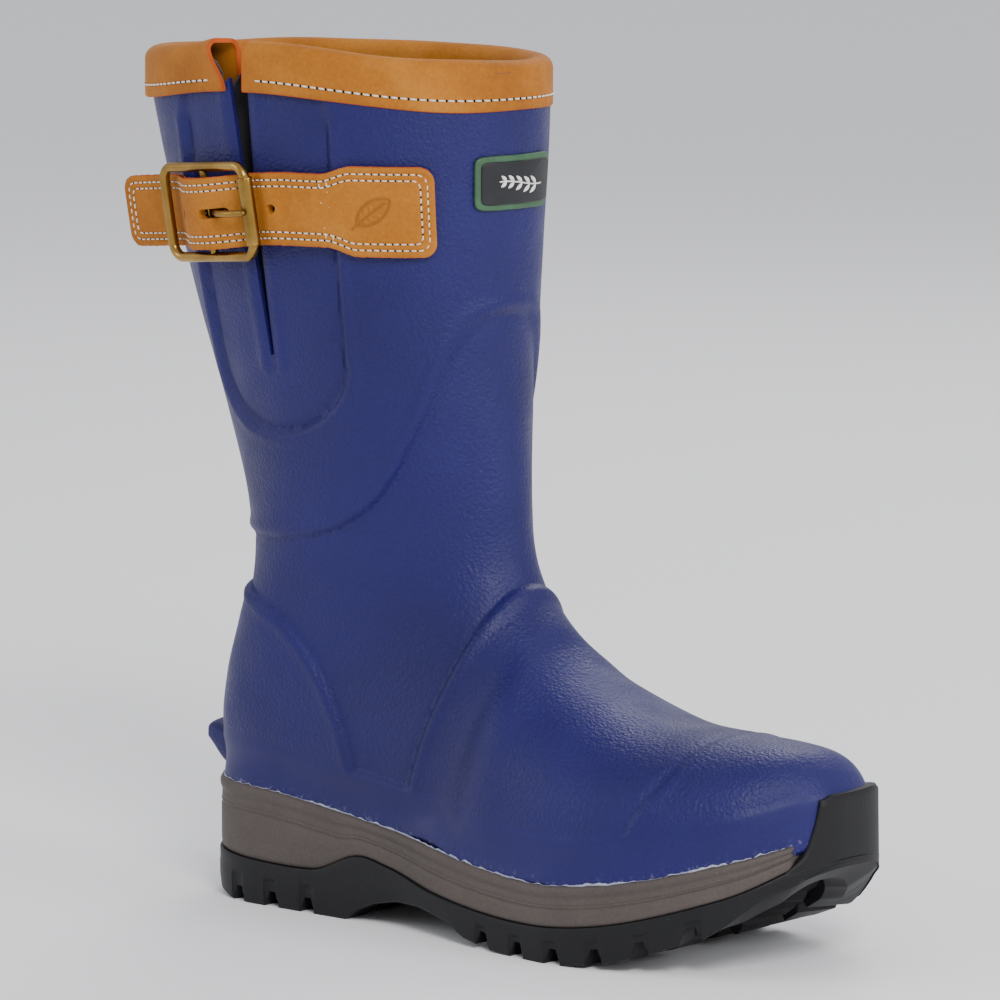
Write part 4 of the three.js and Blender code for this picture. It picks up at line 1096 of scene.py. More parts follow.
def collar_profile():
    """The folded leather in section, as (offset out, height from the rim), from the outer foot."""
    outer, inner = GAP + COLLAR_LEATHER, LINING_IN - GAP - COLLAR_LEATHER
    radius = (outer - inner) / 2
    middle = (outer + inner) / 2
    arc = np.linspace(0, np.pi, 17)
    over = [(middle + radius * np.cos(a), -radius + radius * np.sin(a)) for a in arc]
    small = radius - COLLAR_LEATHER
    under = [(middle + small * np.cos(a), -radius + small * np.sin(a)) for a in arc[::-1]]
    foot = -COLLAR_DROP
    down = np.linspace(-radius - 1.2, foot + 0.5, 8)
    lower = 0.45
    profile = [(outer, z) for z in down[::-1]] + over + [(inner, z) for z in down]
    profile += [(inner + lower, foot), (inner + COLLAR_LEATHER - lower, foot)]
    profile += [(inner + COLLAR_LEATHER, z) for z in down[::-1]] + under
    profile += [(outer - COLLAR_LEATHER, z) for z in down]
    profile += [(outer - COLLAR_LEATHER + lower, foot), (outer - lower, foot)]
    return np.array(profile)


def rim_waver(where, seeds, reach):
    """A slow irregular wave round the rim."""
    total = np.zeros_like(where)
    for k, phase in enumerate(seeds):
        total += np.sin(where * (0.035 + 0.031 * k) + phase) / (1 + 0.5 * k)
    return reach * total / 2


COLLAR_COUNT = 300
COLLAR_STITCH_RISE = 4.2
# Stitches: (pitch, length, thread radius)
COLLAR_STITCH = (3.3, 2.5, 0.34)
STRAP_STITCH = (2.6, 1.95, 0.27)


def make_collar():
    point, normal, height, where = rim_path(COLLAR_COUNT)
    profile = collar_profile()
    out, up = profile[:, 0], profile[:, 1]
    k = len(profile)
    top = smoothstep(up, -COLLAR_DROP * 0.75, 0)
    lean = rim_waver(where, [0.4, 2.0, 5.1, 1.3], 0.55)
    lift = rim_waver(where, [1.1, 4.2, 0.3, 2.9], 0.5)
    foot_wave = rim_waver(where, [2.3, 0.9, 3.7, 5.5], 0.45)
    rear_end = np.exp(-((where / 7.5) ** 2))
    middle = (out.max() + out.min()) / 2
    rings = []
    for i in range(len(where)):
        o = out + lean[i] * top
        z = height[i] + up + lift[i] * top + foot_wave[i] * (1 - top) * (up < -10)
        flare = rear_end[i] * smoothstep(up, -COLLAR_DROP, -4)
        o = o + flare * np.where(out > middle, 1.6, -0.8)
        z = z + flare * 0.6
        plan = point[i] * [1, 1, 0] + normal[i] * o[:, None]
        rings.append(plan + np.array([0, 0, 1]) * z[:, None])
    rings = np.array(rings)
    # the rear end's outer leather is cut back towards its top
    tangent = unit(np.gradient(point, axis=0))
    back = np.where(out > middle, 1.0, 0.25) * smoothstep(up, -COLLAR_DROP, -2)
    for i in range(16):
        share = 1 - i / 16
        rings[i] += tangent[i] * (6.0 * share * back)[:, None]
    n = len(where)
    faces = ring_faces(n, k) + end_faces(n, k)
    collar = piece("collar_fold", rings.reshape(-1, 3), faces, TAN, "boot")
    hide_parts("collar")
    edge = np.zeros((n, k))
    edge[:, np.abs(up + COLLAR_DROP) < 0.3] = 1.0
    edge[0], edge[-1] = 1.0, 1.0
    store(collar, "edge", edge)
    triangulate_caps(collar)
    sharpen(collar, 60)
    keep = (where > 6.0) & (where < where[-1] - 5.0)
    z = height - COLLAR_DROP + COLLAR_STITCH_RISE + 0.3 * foot_wave
    path = point * [1, 1, 0] + normal * (GAP + COLLAR_LEATHER) + np.array([0, 0, 1]) * z[:, None]
    lay_stitches("collar_stitches", path[keep], normal[keep], "boot", *COLLAR_STITCH)


def triangulate_caps(obj):
    """Splits faces of more than four corners into triangles."""
    work = bmesh.new()
    work.from_mesh(obj.data)
    many = [f for f in work.faces if len(f.verts) > 4]
    bmesh.ops.triangulate(work, faces=many)
    work.to_mesh(obj.data)
    work.free()


def lay_stitches(name, path, normals, body, pitch, length, radius):
    """Stitches along a path: each is a short arched thread between two needle holes, and each needle hole
    gets a near-black disc of painted shade.
    """
    path, normals = np.asarray(path, float), np.asarray(normals, float)
    travel = np.concatenate([[0], np.cumsum(np.linalg.norm(np.diff(path, axis=0), axis=1))])
    count = int(travel[-1] / pitch)
    real_pitch = travel[-1] / max(count, 1)

    def at(distance):
        p = np.array([np.interp(distance, travel, path[:, k]) for k in range(3)])
        n = np.array([np.interp(distance, travel, normals[:, k]) for k in range(3)])
        return p, unit(n)

    threads, hole_shades = [], []
    for i in range(count):
        start = i * real_pitch + (real_pitch - length) / 2
        jitter = RANDOM.normal(0, 0.05, 2)
        ring_path, ring_up = [], []
        for share in (0.0, 0.25, 0.5, 0.75, 1.0):
            p, n = at(start + share * length)
            arch = 0.4 * radius + 0.3 * radius * math.sin(math.pi * share)
            arch -= 0.9 * radius * (share in (0.0, 1.0))
            ring_path.append(p + n * (arch + jitter[0] * 0.4))
            ring_up.append(n)
        radii = np.array([0.6, 0.95, 1.05, 0.95, 0.6]) * radius
        ring_path = np.array(ring_path)
        side = unit(np.cross(ring_path[-1] - ring_path[0], ring_up[2]))
        slant = 0.22 * radius * side
        ring_path[0] -= slant * 2
        ring_path[-1] += slant * 2
        threads.append(sweep(ring_path, lambda k, r=radii: circle(r[k], 6), False, np.array(ring_up)))
        # a near-black disc at each needle hole: painted shade standing in for the dark of the hole
        p, n = at(i * real_pitch)
        t = unit(at(min(i * real_pitch + 0.3, travel[-1]))[0] - p + 1e-6)
        b = np.cross(n, t)
        a = np.linspace(0, 2 * np.pi, 8, endpoint=False)
        ring = p + np.outer(np.cos(a), t) * radius * 1.2 + np.outer(np.sin(a), b) * radius * 1.5
        cap = np.concatenate([ring - n * 0.35, ring + n * 0.1, [p + n * 0.16, p - n * 0.4]])
        faces = ring_faces(2, 8)
        faces += [(8 + j, 8 + (j + 1) % 8, 16) for j in range(8)]
        faces += [((j + 1) % 8, j, 17) for j in range(8)]
        hole_shades.append((cap, faces))
    points, faces = joined(threads)
    made = piece(name, points, faces, THREAD, body)
    triangulate_caps(made)
    points, faces = joined(hole_shades)
    piece(name + "_hole_shades", points, faces, HOLE_SHADE, body)


# ---- Strap ----
BAR_REACH = BUCKLE_LENGTH / 2 - WIRE_RADIUS
ROLLER_RADIUS = BAR_RADIUS + GAP + ROLLER_WALL
CHAPE_RADIUS = BAR_RADIUS + GAP + CHAPE_THICK
STRAP_THICK = 2 * PLY_THICK + GAP
CREST = BAR_STANDOFF + CHAPE_RADIUS + GAP
TILT_ROOM = 1.2
DIP = BAR_STANDOFF - ROLLER_RADIUS - TILT_ROOM - STRAP_THICK
STRAP_Z = BOOT_HEIGHT - STRAP_DROP
END_RADIUS = 5.0
strap_rise = smooth_line(
    [
        (-FREE_END, DIP + 1),
        (-BAR_REACH - 6, DIP),
        (-BAR_REACH + 1, DIP),
        (-14, 0.55 * DIP + 0.45 * CREST),
        (-7, CREST - 1),
        (0, CREST),
        (7, CREST - 1.2),
        (14, 0.55 * DIP + 0.45 * CREST),
        (BAR_REACH - 1, DIP),
        (BAR_REACH + 6, DIP),
    ]
)


def buckle_seat():
    """Origin and the u, v, n directions of the buckle: forward on the strap, up the leg, and outward."""
    z = STRAP_Z - BUCKLE_SAG
    point, normal = leg_point(BUCKLE_ANGLE, z)
    v = unit(leg_point(BUCKLE_ANGLE, z + 10)[0] - point)
    n = unit(normal - normal.dot(v) * v)
    u = np.cross(v, n)
    turn = -math.radians(BUCKLE_TURN)
    u, v = u * math.cos(turn) + v * math.sin(turn), v * math.cos(turn) - u * math.sin(turn)
    return point, u, v, n


SEAT, SEAT_U, SEAT_V, SEAT_N = buckle_seat()
LEG_START = BUCKLE_ANGLE - 35 / 1.1 / 1.18
LOCAL_END = BAR_REACH + 4
BRIDGE = 8.0
LEG_DEGREES = np.linspace(LEG_START, TAB_FRONT, 200)
LEG_LINE = leg_point(LEG_DEGREES, STRAP_Z)[0]
LEG_TRAVEL = np.concatenate([[0], np.cumsum(np.linalg.norm(np.diff(LEG_LINE, axis=0), axis=1))])
A_LOCAL = FREE_END + LOCAL_END
A_LEG = A_LOCAL + BRIDGE
A_END = A_LEG + LEG_TRAVEL[-1]


def from_seat(u, v, n):
    u, v, n = np.broadcast_arrays(np.asarray(u, float), np.asarray(v, float), np.asarray(n, float))
    return SEAT + u[..., None] * SEAT_U + v[..., None] * SEAT_V + n[..., None] * SEAT_N


def leg_degrees(a):
    return np.interp(a - A_LEG, LEG_TRAVEL, LEG_DEGREES)


def strap_distance(degrees):
    """Distance from the strap's free end to a place on the leg."""
    return float(np.interp(degrees, LEG_DEGREES[::-1], LEG_TRAVEL[::-1])) + A_LEG


def strap_point(a, v, lift):
    """A point of the strap at distance a from its free end, v up from its middle line."""
    a, v, lift = np.broadcast_arrays(np.asarray(a, float), np.asarray(v, float), np.asarray(lift, float))
    u = np.minimum(a, A_LOCAL) - FREE_END
    local = from_seat(u, v, strap_rise(u) + lift)
    on_leg, normal = leg_point(leg_degrees(np.maximum(a, A_LEG)), STRAP_Z + v)
    on_leg = on_leg + normal * (OVER_PANEL + lift)[..., None]
    step = 0.5
    ahead = leg_point(leg_degrees(A_LEG + step), STRAP_Z + v)[0]
    first, first_n = leg_point(leg_degrees(A_LEG), STRAP_Z + v)
    p1 = first + first_n * (OVER_PANEL + lift)[..., None]
    t1 = unit(ahead - first)
    p0 = from_seat(LOCAL_END, v, strap_rise(LOCAL_END) + lift)
    gap = np.linalg.norm(p1 - p0, axis=-1, keepdims=True)
    w = np.clip((a - A_LOCAL) / BRIDGE, 0, 1)[..., None]
    bridge = (
        p0 * (1 + 2 * w) * (1 - w) ** 2
        + SEAT_U * gap * w * (1 - w) ** 2
        + p1 * w * w * (3 - 2 * w)
        + t1 * gap * w * w * (w - 1)
    )
    return np.where(a[..., None] <= A_LOCAL, local, np.where(a[..., None] >= A_LEG, on_leg, bridge))


def strap_half(a, inset=0.0):
    """Half the strap's height at a, with rounded ends, drawn in by an inset."""
    a = np.asarray(a, float)
    degrees = np.where(a >= A_LEG, leg_degrees(a), LEG_START + 5)
    widening = smoothstep(TAB_BACK - degrees, 0, TAB_BACK - TAB_NECK)
    half = STRAP_WIDTH / 2 + (TAB_HEIGHT - STRAP_WIDTH) / 2 * widening - inset
    radius = max(END_RADIUS - 0.6 * inset, 1.5)
    for left in (a - inset, A_END - inset - a):
        short = np.clip(radius - left, 0, radius)
        half = half - (radius - np.sqrt(radius**2 - short**2))
    return half


LEAF_A = strap_distance(54.5)
LEAF_REACH = 7.5


def leaf_press(a, v):
    """Depth of a debossed leaf mark: an outlined leaf with a middle rib and a few side veins."""
    x = (np.asarray(a) - LEAF_A) / LEAF_REACH
    y = np.asarray(v) / LEAF_REACH
    turn = math.radians(38)
    x, y = x * math.cos(turn) + y * math.sin(turn), y * math.cos(turn) - x * math.sin(turn)
    body = 0.46 * np.maximum(0, 1 - x * x) ** 0.8
    inside = (np.abs(x) < 1) & (np.abs(y) < body)
    outline = np.exp(-(((np.abs(y) - body) / 0.075) ** 2)) * (np.abs(x) < 1.0)
    rib = np.exp(-((y / 0.06) ** 2)) * (x > -1.35) * (x < 0.8)
    beside_vein = ((x - 0.55 * np.abs(y)) * 3.2) % 1.0 - 0.5
    vein = np.exp(-((beside_vein / 0.16) ** 2)) * inside * (np.abs(x) < 0.75)
    return np.clip(np.maximum(np.maximum(outline, rib), 0.6 * vein) + 0.15 * inside, 0, 1)


def make_ply(name, node, lift, thick, material, detailed):
    """One ply of the strap as a closed slab with softly rounded edges."""
    fine = np.arange(A_LEG + 6, A_END - 4, 0.5 if detailed else 1.6)
    coarse = np.arange(2.0, A_LEG + 6, 0.9 if detailed else 1.3)
    ends = np.array([0, 0.15, 0.4, 0.8, 1.3])
    a = np.concatenate([ends, coarse, fine, A_END - 4 + np.array([0.0, 1, 2.0, 2.7, 3.2, 3.6, 3.85, 4.0])])
    a = np.unique(np.round(a, 4))
    count = 64 if detailed else 24
    share = np.sin(np.linspace(-np.pi / 2, np.pi / 2, count + 1) * 0.86) / math.sin(math.pi / 2 * 0.86)
    half = strap_half(a)
    bulge = np.array([0.25, 0.5, 0.75])
    top_v = half[:, None] * share[None, :]
    a_top = np.repeat(a[:, None], count + 1, 1)
    press = 0.0
    near_edge = np.minimum(half[:, None] - np.abs(top_v), np.minimum(a_top, A_END - a_top))
    rounding = 0.28 * np.exp(-near_edge / 0.5)
    if detailed:
        press = 0.4 * leaf_press(a_top, top_v)
        for inset in STITCH_ROWS:
            press = press + STITCH_GROOVE * np.exp(-(((near_edge - inset) / 0.6) ** 2))
    wave = 0.12 * np.sin(a_top * 0.31 + 1.3) * np.cos(top_v * 0.21)
    top = strap_point(a_top, top_v, lift + thick - rounding - press + wave * 0.4)
    low = strap_point(a_top, top_v, lift + rounding * 0.7 + 0 * top_v)
    rough = 0.16 * np.sin(a * 2.9) * np.sin(a * 1.13 + 2) + RANDOM.normal(0, 0.05, len(a))
    edges = []
    for sign in (1, -1):
        for b in bulge:
            out = half + 0.14 + rough * (0.6 if sign > 0 else -0.6)
            edges.append(strap_point(a, sign * out, lift + thick * (1 - b if sign > 0 else b)))
    upper = [top[:, k] for k in range(count + 1)]
    lower = [low[:, k] for k in range(count, -1, -1)]
    rings = np.stack(upper + edges[:3] + lower + edges[3:], 1)
    n, k = rings.shape[:2]
    faces = []
    for i in range(n - 1):
        p, q = i * k, (i + 1) * k
        faces += [(p + j, q + j, q + (j + 1) % k, p + (j + 1) % k) for j in range(k)]
    m = count + 1
    caps = []
    for base in (0, (n - 1) * k):
        for j in range(count):
            caps.append((base + j, base + j + 1, base + m + 3 + count - j - 1, base + m + 3 + count - j))
        caps.append((base + m - 1, base + m, base + m + 1, base + m + 2, base + m + 3))
        last = base + m + 3 + count
        caps.append((last, last + 1, last + 2, last + 3, base))
    made = piece(name, rings.reshape(-1, 3), faces + caps, material, "boot")
    edge = np.zeros((n, k), np.float32)
    edge[:, m : m + 3] = 1.0
    edge[:, -3:] = 1.0
    edge[:, [0, m - 1]] = 0.5
    edge[0], edge[-1] = 0.9, 0.9
    store(made, "edge", edge)
    if detailed:
        # the leaf mark's depth, kept per vertex for the leather material to paint shade into its grooves
        leaf_groove_shade = np.zeros((n, k), np.float32)
        leaf_groove_shade[:, :m] = leaf_press(a_top, top_v)
        store(made, "leaf_groove_shade", leaf_groove_shade)
    triangulate_caps(made)
    cut(made, strap_cutters())
    sharpen(made, 50)
    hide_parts(node)


def prism(outline, low, high):
    """A prism in the buckle's frame: outline points (u, v), from one n to another."""
    outline = np.asarray(outline, float)
    k = len(outline)
    points = np.concatenate([from_seat(outline[:, 0], outline[:, 1], n) for n in (low, high)])
    return points, ring_faces(2, k) + end_faces(2, k)


STRAP_HOLE_RADIUS = 1.7
SLOT_HALF = 1.75
SLOT_REAR = 3.4
SLOT_FRONT = 13.4


def strap_cutters():
    """The two spare holes and the slot that the prong comes through."""
    cutters = []
    for u in (HOLE_PITCH / 2 - HOLE_PITCH, HOLE_PITCH / 2 + HOLE_PITCH):
        outline = circle(STRAP_HOLE_RADIUS, 20) + [u, 0]
        cutters.append(loose_mesh(*prism(outline, -3, 30)))
    slot = []
    for middle, start in ((SLOT_FRONT - SLOT_HALF, -np.pi / 2), (SLOT_REAR, np.pi / 2)):
        turn = np.linspace(start, start + np.pi, 9)
        slot += [(middle + SLOT_HALF * math.cos(t), SLOT_HALF * math.sin(t)) for t in turn]
    cutters.append(loose_mesh(*prism(slot, -3, 30)))
    return cutters


STITCH_ROWS = (2.3, 4.5)
STITCH_GROOVE = 0.42


def strap_outline(inset, step=0.5):
    """The strap's outline drawn in by an inset, as a closed run of (a, v)."""
    a = np.linspace(inset, A_END - inset, int(A_END / step))
    half = strap_half(a, inset)
    upper = np.stack([a, half], 1)
    lower = np.stack([a[::-1], -half[::-1]], 1)
    run = np.concatenate([upper, lower, upper[:1]])
    dense = [run[0]]
    for p, q in zip(run[:-1], run[1:]):
        gap = np.linalg.norm(q - p)
        for t in np.linspace(0, 1, max(2, int(gap / step) + 1))[1:]:
            dense.append(p + (q - p) * t)
    return np.array(dense)


def make_strap():
    make_ply("strap_under_ply", "strap_backing", 0.0, PLY_THICK, TAN, False)
    make_ply("strap_top_ply", "strap_facing", PLY_THICK + 0.12, PLY_THICK + GAP - 0.12, TAN, True)
    lift = STRAP_THICK - STITCH_GROOVE
    runs = {f"strap_stitches_{k}": strap_outline(inset) for k, inset in enumerate(STITCH_ROWS)}
    for k, degrees in enumerate((69.6, 67.4)):
        a = strap_distance(degrees)
        reach = float(strap_half(a, STITCH_ROWS[0]))
        v = np.linspace(-reach, reach, 50)
        runs[f"strap_cross_stitches_{k}"] = np.stack([np.full(50, a), v], 1)
    for name, run in runs.items():
        path = strap_point(run[:, 0], run[:, 1], lift)
        above = strap_point(run[:, 0], run[:, 1], lift + 1.0)
        lay_stitches(name, path, unit(above - path), "boot", *STRAP_STITCH)


# ---- Buckle ----
def from_bar(u, v, n):
    """Build-frame points from places measured from the buckle's centre bar."""
    return from_seat(u, v, np.asarray(n, float) + BAR_STANDOFF)


def make_buckle():
    half_height = BUCKLE_HEIGHT / 2 - WIRE_RADIUS
    corner = BUCKLE_CORNER
    bay = ROLLER_LENGTH / 2 + GAP
    path = []

    def arc(cu, cv, start, end):
        for t in np.linspace(math.radians(start), math.radians(end), 10):
            path.append((cu + corner * math.cos(t), cv + corner * math.sin(t)))

    path.append((BAR_REACH, bay + 0.4))
    path.append((BAR_REACH, half_height - corner - 0.5))
    arc(BAR_REACH - corner, half_height - corner, 0, 90)
    path += [(u, half_height) for u in np.linspace(BAR_REACH - corner - 3, -BAR_REACH + corner + 3, 12)]
    arc(-BAR_REACH + corner, half_height - corner, 90, 180)
    path += [(-BAR_REACH, v) for v in np.linspace(half_height - corner - 3, -half_height + corner + 3, 9)]
    arc(-BAR_REACH + corner, -half_height + corner, 180, 270)
    path += [(u, -half_height) for u in np.linspace(-BAR_REACH + corner + 3, BAR_REACH - corner - 3, 12)]
    arc(BAR_REACH - corner, -half_height + corner, 270, 360)
    path.append((BAR_REACH, -half_height + corner + 0.5))
    path.append((BAR_REACH, -bay - 0.4))
    path = np.array(path)
    centre = from_bar(path[:, 0], path[:, 1], 0.0)
    flat = circle(WIRE_RADIUS, 20) * [0.9, 0.92]
    up = np.repeat(SEAT_N[None, :], len(centre), 0)
    wire = sweep(centre, lambda i: flat, False, up)
    ends = []
    for sign in (1, -1):
        v = np.linspace(bay + 0.5, bay - 0.05, 5) * sign
        radius = WIRE_RADIUS * np.array([0.88, 0.84, 0.74, 0.66, 0.62])
        ends.append(
            sweep(from_bar(BAR_REACH, v, 0.0), lambda i, r=radius: circle(r[i], 20), False, up[:5])
        )
    bar_v = np.linspace(-half_height, half_height, 15)
    bar = sweep(from_bar(0.0, bar_v, 0.0), lambda i: circle(BAR_RADIUS, 14), False, up[:15])
    axle_path = from_bar(BAR_REACH, bar_v * bay / half_height, 0.0)
    axle = sweep(axle_path, lambda i: circle(BAR_RADIUS, 14), False, up[:15])
    points, faces = joined([wire, *ends, bar, axle])
    buckle = piece("buckle_wire", points, faces, BRASS, "buckle")
    triangulate_caps(buckle)
    sharpen(buckle, 55)
    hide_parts("buckle_frame")
    make_roller()
    make_prong()
    make_chape()


def make_roller():
    """A rolled sheet tube with turned-in lips and the seam of its sheet."""
    half = ROLLER_LENGTH / 2
    tube = ROLLER_RADIUS + 0.1
    profile = [(BAR_RADIUS + GAP, -half + 0.3), (BAR_RADIUS + GAP + 0.25, -half), (tube - 0.3, -half)]
    profile += [(tube - 0.08, -half + 0.14), (tube, -half + 0.45)]
    profile += [(tube, v) for v in np.linspace(-half + 2, half - 2, 9)]
    profile += [(r, -v) for r, v in profile[:5][::-1]]
    profile = np.array(profile)
    sides, k = 48, len(profile)
    angles = np.linspace(0, 2 * np.pi, sides, endpoint=False)
    seam = 1 - 0.07 * np.exp(-(((angles - 4.4) / 0.09) ** 2))
    points = []
    for angle, dent in zip(angles, seam):
        r = np.where(profile[:, 0] > tube - 0.4, profile[:, 0] * dent, profile[:, 0])
        points.append(from_bar(BAR_REACH + r * math.cos(angle), profile[:, 1], r * math.sin(angle)))
    faces = ring_faces(sides, k, closed=True)
    roller = piece("buckle_roller_tube", np.concatenate(points), faces, BRASS, "roller")
    sharpen(roller, 40)
    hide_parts("buckle_roller")


def make_prong():
    """A wire prong: an eye round the centre bar, a rise through the strap and a tip on the roller."""
    eye = BAR_RADIUS + GAP + PRONG_RADIUS * 0.5 + 0.35
    turn = np.radians(np.linspace(-300, 8, 22))
    eye_path = [(eye * math.cos(t), eye * math.sin(t)) for t in turn[:-2]]
    run = curve_points(
        [
            (eye, -0.3),
            (5, 1.3),
            (8.5, 3.1),
            (12.5, 5.0),
            (18, 5.3),
            (BAR_REACH - 0.5, ROLLER_RADIUS + PRONG_RADIUS + GAP),
            (BAR_REACH + 1.2, ROLLER_RADIUS + PRONG_RADIUS + 0.1),
        ],
        40,
    )
    path = np.array(eye_path + [tuple(p) for p in run[1:]])
    centre = from_bar(path[:, 0], 0.0, path[:, 1])
    radii = np.full(len(path), PRONG_RADIUS)
    radii[: len(eye_path)] = 0.62
    radii[len(eye_path) : len(eye_path) + 6] = np.linspace(0.7, PRONG_RADIUS, 6)
    radii[-6:] = np.linspace(1.0, 0.88, 6) * PRONG_RADIUS
    points, faces = round_tube(centre, radii, 14)
    prong = piece("buckle_prong_wire", points, faces, BRASS, "prong")
    triangulate_caps(prong)
    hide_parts("buckle_prong")


def make_chape():
    """The leather loop that holds the buckle's centre bar: two lobes with the prong's slot between."""
    base = -BAR_STANDOFF
    turn = np.linspace(-0.15 * np.pi, 1.15 * np.pi, 26)
    outline = [(CHAPE_RADIUS * math.cos(t), CHAPE_RADIUS * math.sin(t)) for t in turn]
    outline += [(-5, base + OVER_PANEL + 1), (-10, base + OVER_PANEL + 0.5), (-10, base + OVER_PANEL - 0.1)]
    outline += [(4, base + OVER_PANEL - 0.1), (4, base + OVER_PANEL + 1)]
    outline = np.array(outline)
    middle = outline.mean(0)
    reach = CHAPE_WIDTH / 2
    steps = [(-reach, 0.9), (-reach + 0.25, 0.97), (-reach + 0.7, 1.0)]
    steps += [(v, 1.0) for v in np.linspace(-reach + 2, reach - 2, 12)]
    steps += [(-v, g) for v, g in steps[:3][::-1]]
    rings = []
    for v, grow in steps:
        q = middle + (outline - middle) * grow
        rings.append(from_bar(q[:, 0], v, q[:, 1]))
    k, n = len(outline), len(steps)
    faces = ring_faces(n, k) + end_faces(n, k)
    chape = piece("chape_loop", np.concatenate(rings), faces, TAN, "boot")
    store(chape, "edge", np.repeat([1.0 if g < 0.99 else 0.0 for _, g in steps], k))
    triangulate_caps(chape)
    bore = circle(BAR_RADIUS + GAP, 20)
    bore_points = np.concatenate([from_bar(bore[:, 0], v, bore[:, 1]) for v in (-reach - 2, reach + 2)])
    bore_faces = ring_faces(2, 20) + end_faces(2, 20)
    room = PRONG_RADIUS + 0.6
    slot = [(-6, -room), (8, -room), (8, room), (-6, room)]
    low = BAR_STANDOFF + base + OVER_PANEL + 1
    cut(chape, [loose_mesh(bore_points, bore_faces), loose_mesh(*prism(slot, low, 20))])
    sharpen(chape, 50)
    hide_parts("buckle_chape")


# ---- Label ----
def label_slab(half_long, half_high, corner, inside, outside, bevel):
    """A rounded slab that wraps the front of the leg: its points, its faces and its place function."""
    radius = CALF_WIDTH / 2 - 4
    z0 = BOOT_HEIGHT - LABEL_DROP
    shares = [1.0, 0.985, 0.95, 0.9, 0.8, 0.65, 0.5, 0.35, 0.2, 0.05]
    sides = 96
    angles = np.linspace(0, 2 * np.pi, sides, endpoint=False)
    power = 2 / (2 + 1.2 * half_high / corner)
    cx, cy = signed_power(np.cos(angles), power), signed_power(np.sin(angles), power)

    def place(x, y, lift):
        point, normal = leg_point(np.degrees(x / radius), z0 + y)
        return point + normal * np.asarray(lift)[..., None]

    rings = [place(cx * half_long, cy * half_high, np.full(sides, z)) for z in (inside, outside - bevel)]
    for share in shares:
        lift = outside - bevel * (share > 0.99) * 0.4
        x, y = cx * (half_long - bevel * 0.5) * share, cy * (half_high - bevel * 0.5) * share
        rings.append(place(x, y, np.full(sides, lift)))
    points = np.concatenate(rings)
    faces = ring_faces(len(rings), sides)
    top = len(points)
    points = np.concatenate([points, [place(0.0, 0.0, outside), place(0.0, 0.0, inside)]])
    last = (len(rings) - 1) * sides
    faces += [(last + j, last + (j + 1) % sides, top) for j in range(sides)]
    faces += [((j + 1) % sides, j, top + 1) for j in range(sides)]
    return points, faces, place


def make_label():
    out = OVER_PANEL + LABEL_THICK
    points, faces, place = label_slab(LABEL_LENGTH / 2, LABEL_HEIGHT / 2, 1.6, OVER_PANEL - 0.2, out, 0.35)
    backing = piece("label_edge", points, faces, LABEL_EDGE, "boot")
    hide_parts("label_backing")
    half_long, half_high = LABEL_LENGTH / 2 - LABEL_BORDER, LABEL_HEIGHT / 2 - LABEL_BORDER
    points, faces, place = label_slab(half_long, half_high, 1.0, out - 0.1, out + 0.55, 0.2)
    face = piece("label_plate", points, faces, LABEL_INSET, "boot")
    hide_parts("label_face")
    # a plain sprig: a stem with paired leaves
    parts = []
    stem = np.linspace(-9.5, 9.0, 30)
    parts.append(round_tube(place(stem, 0.9 * np.sin(stem * 0.22) - 0.2, out + 0.55), 0.26, 8))
    for k, x in enumerate((-6.5, -3.2, 0.2, 3.6, 6.6)):
        for sign in (1, -1):
            t = np.linspace(0, 1, 9)
            size = 3.4 - 0.28 * k
            bend = x + size * t * 0.85
            y = 0.9 * math.sin(x * 0.22) - 0.2 + sign * size * (t**0.8) * 0.85
            width = 0.1 + 0.62 * np.sin(np.pi * t) ** 0.8
            parts.append(round_tube(place(bend, y, out + 0.5), width, 8))
    points, faces = joined(parts)
    sprig = piece("label_sprig", points, faces, LABEL_PRINT, "boot")
    triangulate_caps(sprig)


# ---- Kick spur ----
SPUR_RISE = 8.5


def make_spur():
    """A rounded ledge at the back of the heel, whose underside slopes up."""
    foot = float(midsole_top(0)) + GAP
    shares = np.linspace(0, 1, 26)
    sections = 30
    rings = []
    for t in shares:
        x = 14 - (14 + SPUR_REACH) * t
        end = 1 if t < 0.9 else math.sqrt(max(0.05, 1 - ((t - 0.9) / 0.105) ** 2))
        half_y = SPUR_WIDTH / 2 * (1 - 0.16 * t**2) * end
        drop = 3.0 if t > 0.97 else 0.9 * smoothstep(t, 0.8, 1.0)
        high = foot + SPUR_HEIGHT + 2 * smoothstep(t, 0.3, 0.9) - drop
        low = foot + 0.6 * t * 2 + SPUR_RISE * float(smoothstep(t, 0.4, 1.0))
        angle = np.linspace(0, 2 * np.pi, sections, endpoint=False)
        power = 0.3
        cy, cz = signed_power(np.cos(angle), power), signed_power(np.sin(angle), power)
        sag = 1.6 * np.abs(cy) ** 3
        z = (low + high) / 2 + (high - low) / 2 * cz - sag * (cz > 0)
        rings.append(np.stack([np.full(sections, x), cy * half_y, z], 1))
    faces = ring_faces(len(rings), sections) + end_faces(len(rings), sections)
    spur = piece("kick_spur_ledge", np.concatenate(rings), faces, NAVY, "boot")
    triangulate_caps(spur)
    set_attribute(spur, "smooth", lambda p: np.full(len(p), 0.35))
    set_attribute(spur, "glue", lambda p: np.exp(-np.maximum(0, p[:, 2] - midsole_top(p[:, 0])) / 1.5))
    sharpen(spur, 60)
    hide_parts("kick_spur")


# ---- Sole ----
FORM_S = even_rows(4.0, 0.05)


def form_tree(offset):
    """The form's surface grown by an offset, for finding its underside."""
    angles = np.linspace(0, 2 * np.pi, 120, endpoint=False)
    place = FORM_S[:, None], angles[None, :]
    points = [Vector(p) for p in (form_point(*place) + form_normal(*place) * offset).reshape(-1, 3)]
    faces = grid_faces(len(FORM_S), 120, 0, open_slit=False)
    return BVHTree.FromPolygons(points, [tuple(int(v) for v in f) for f in faces])


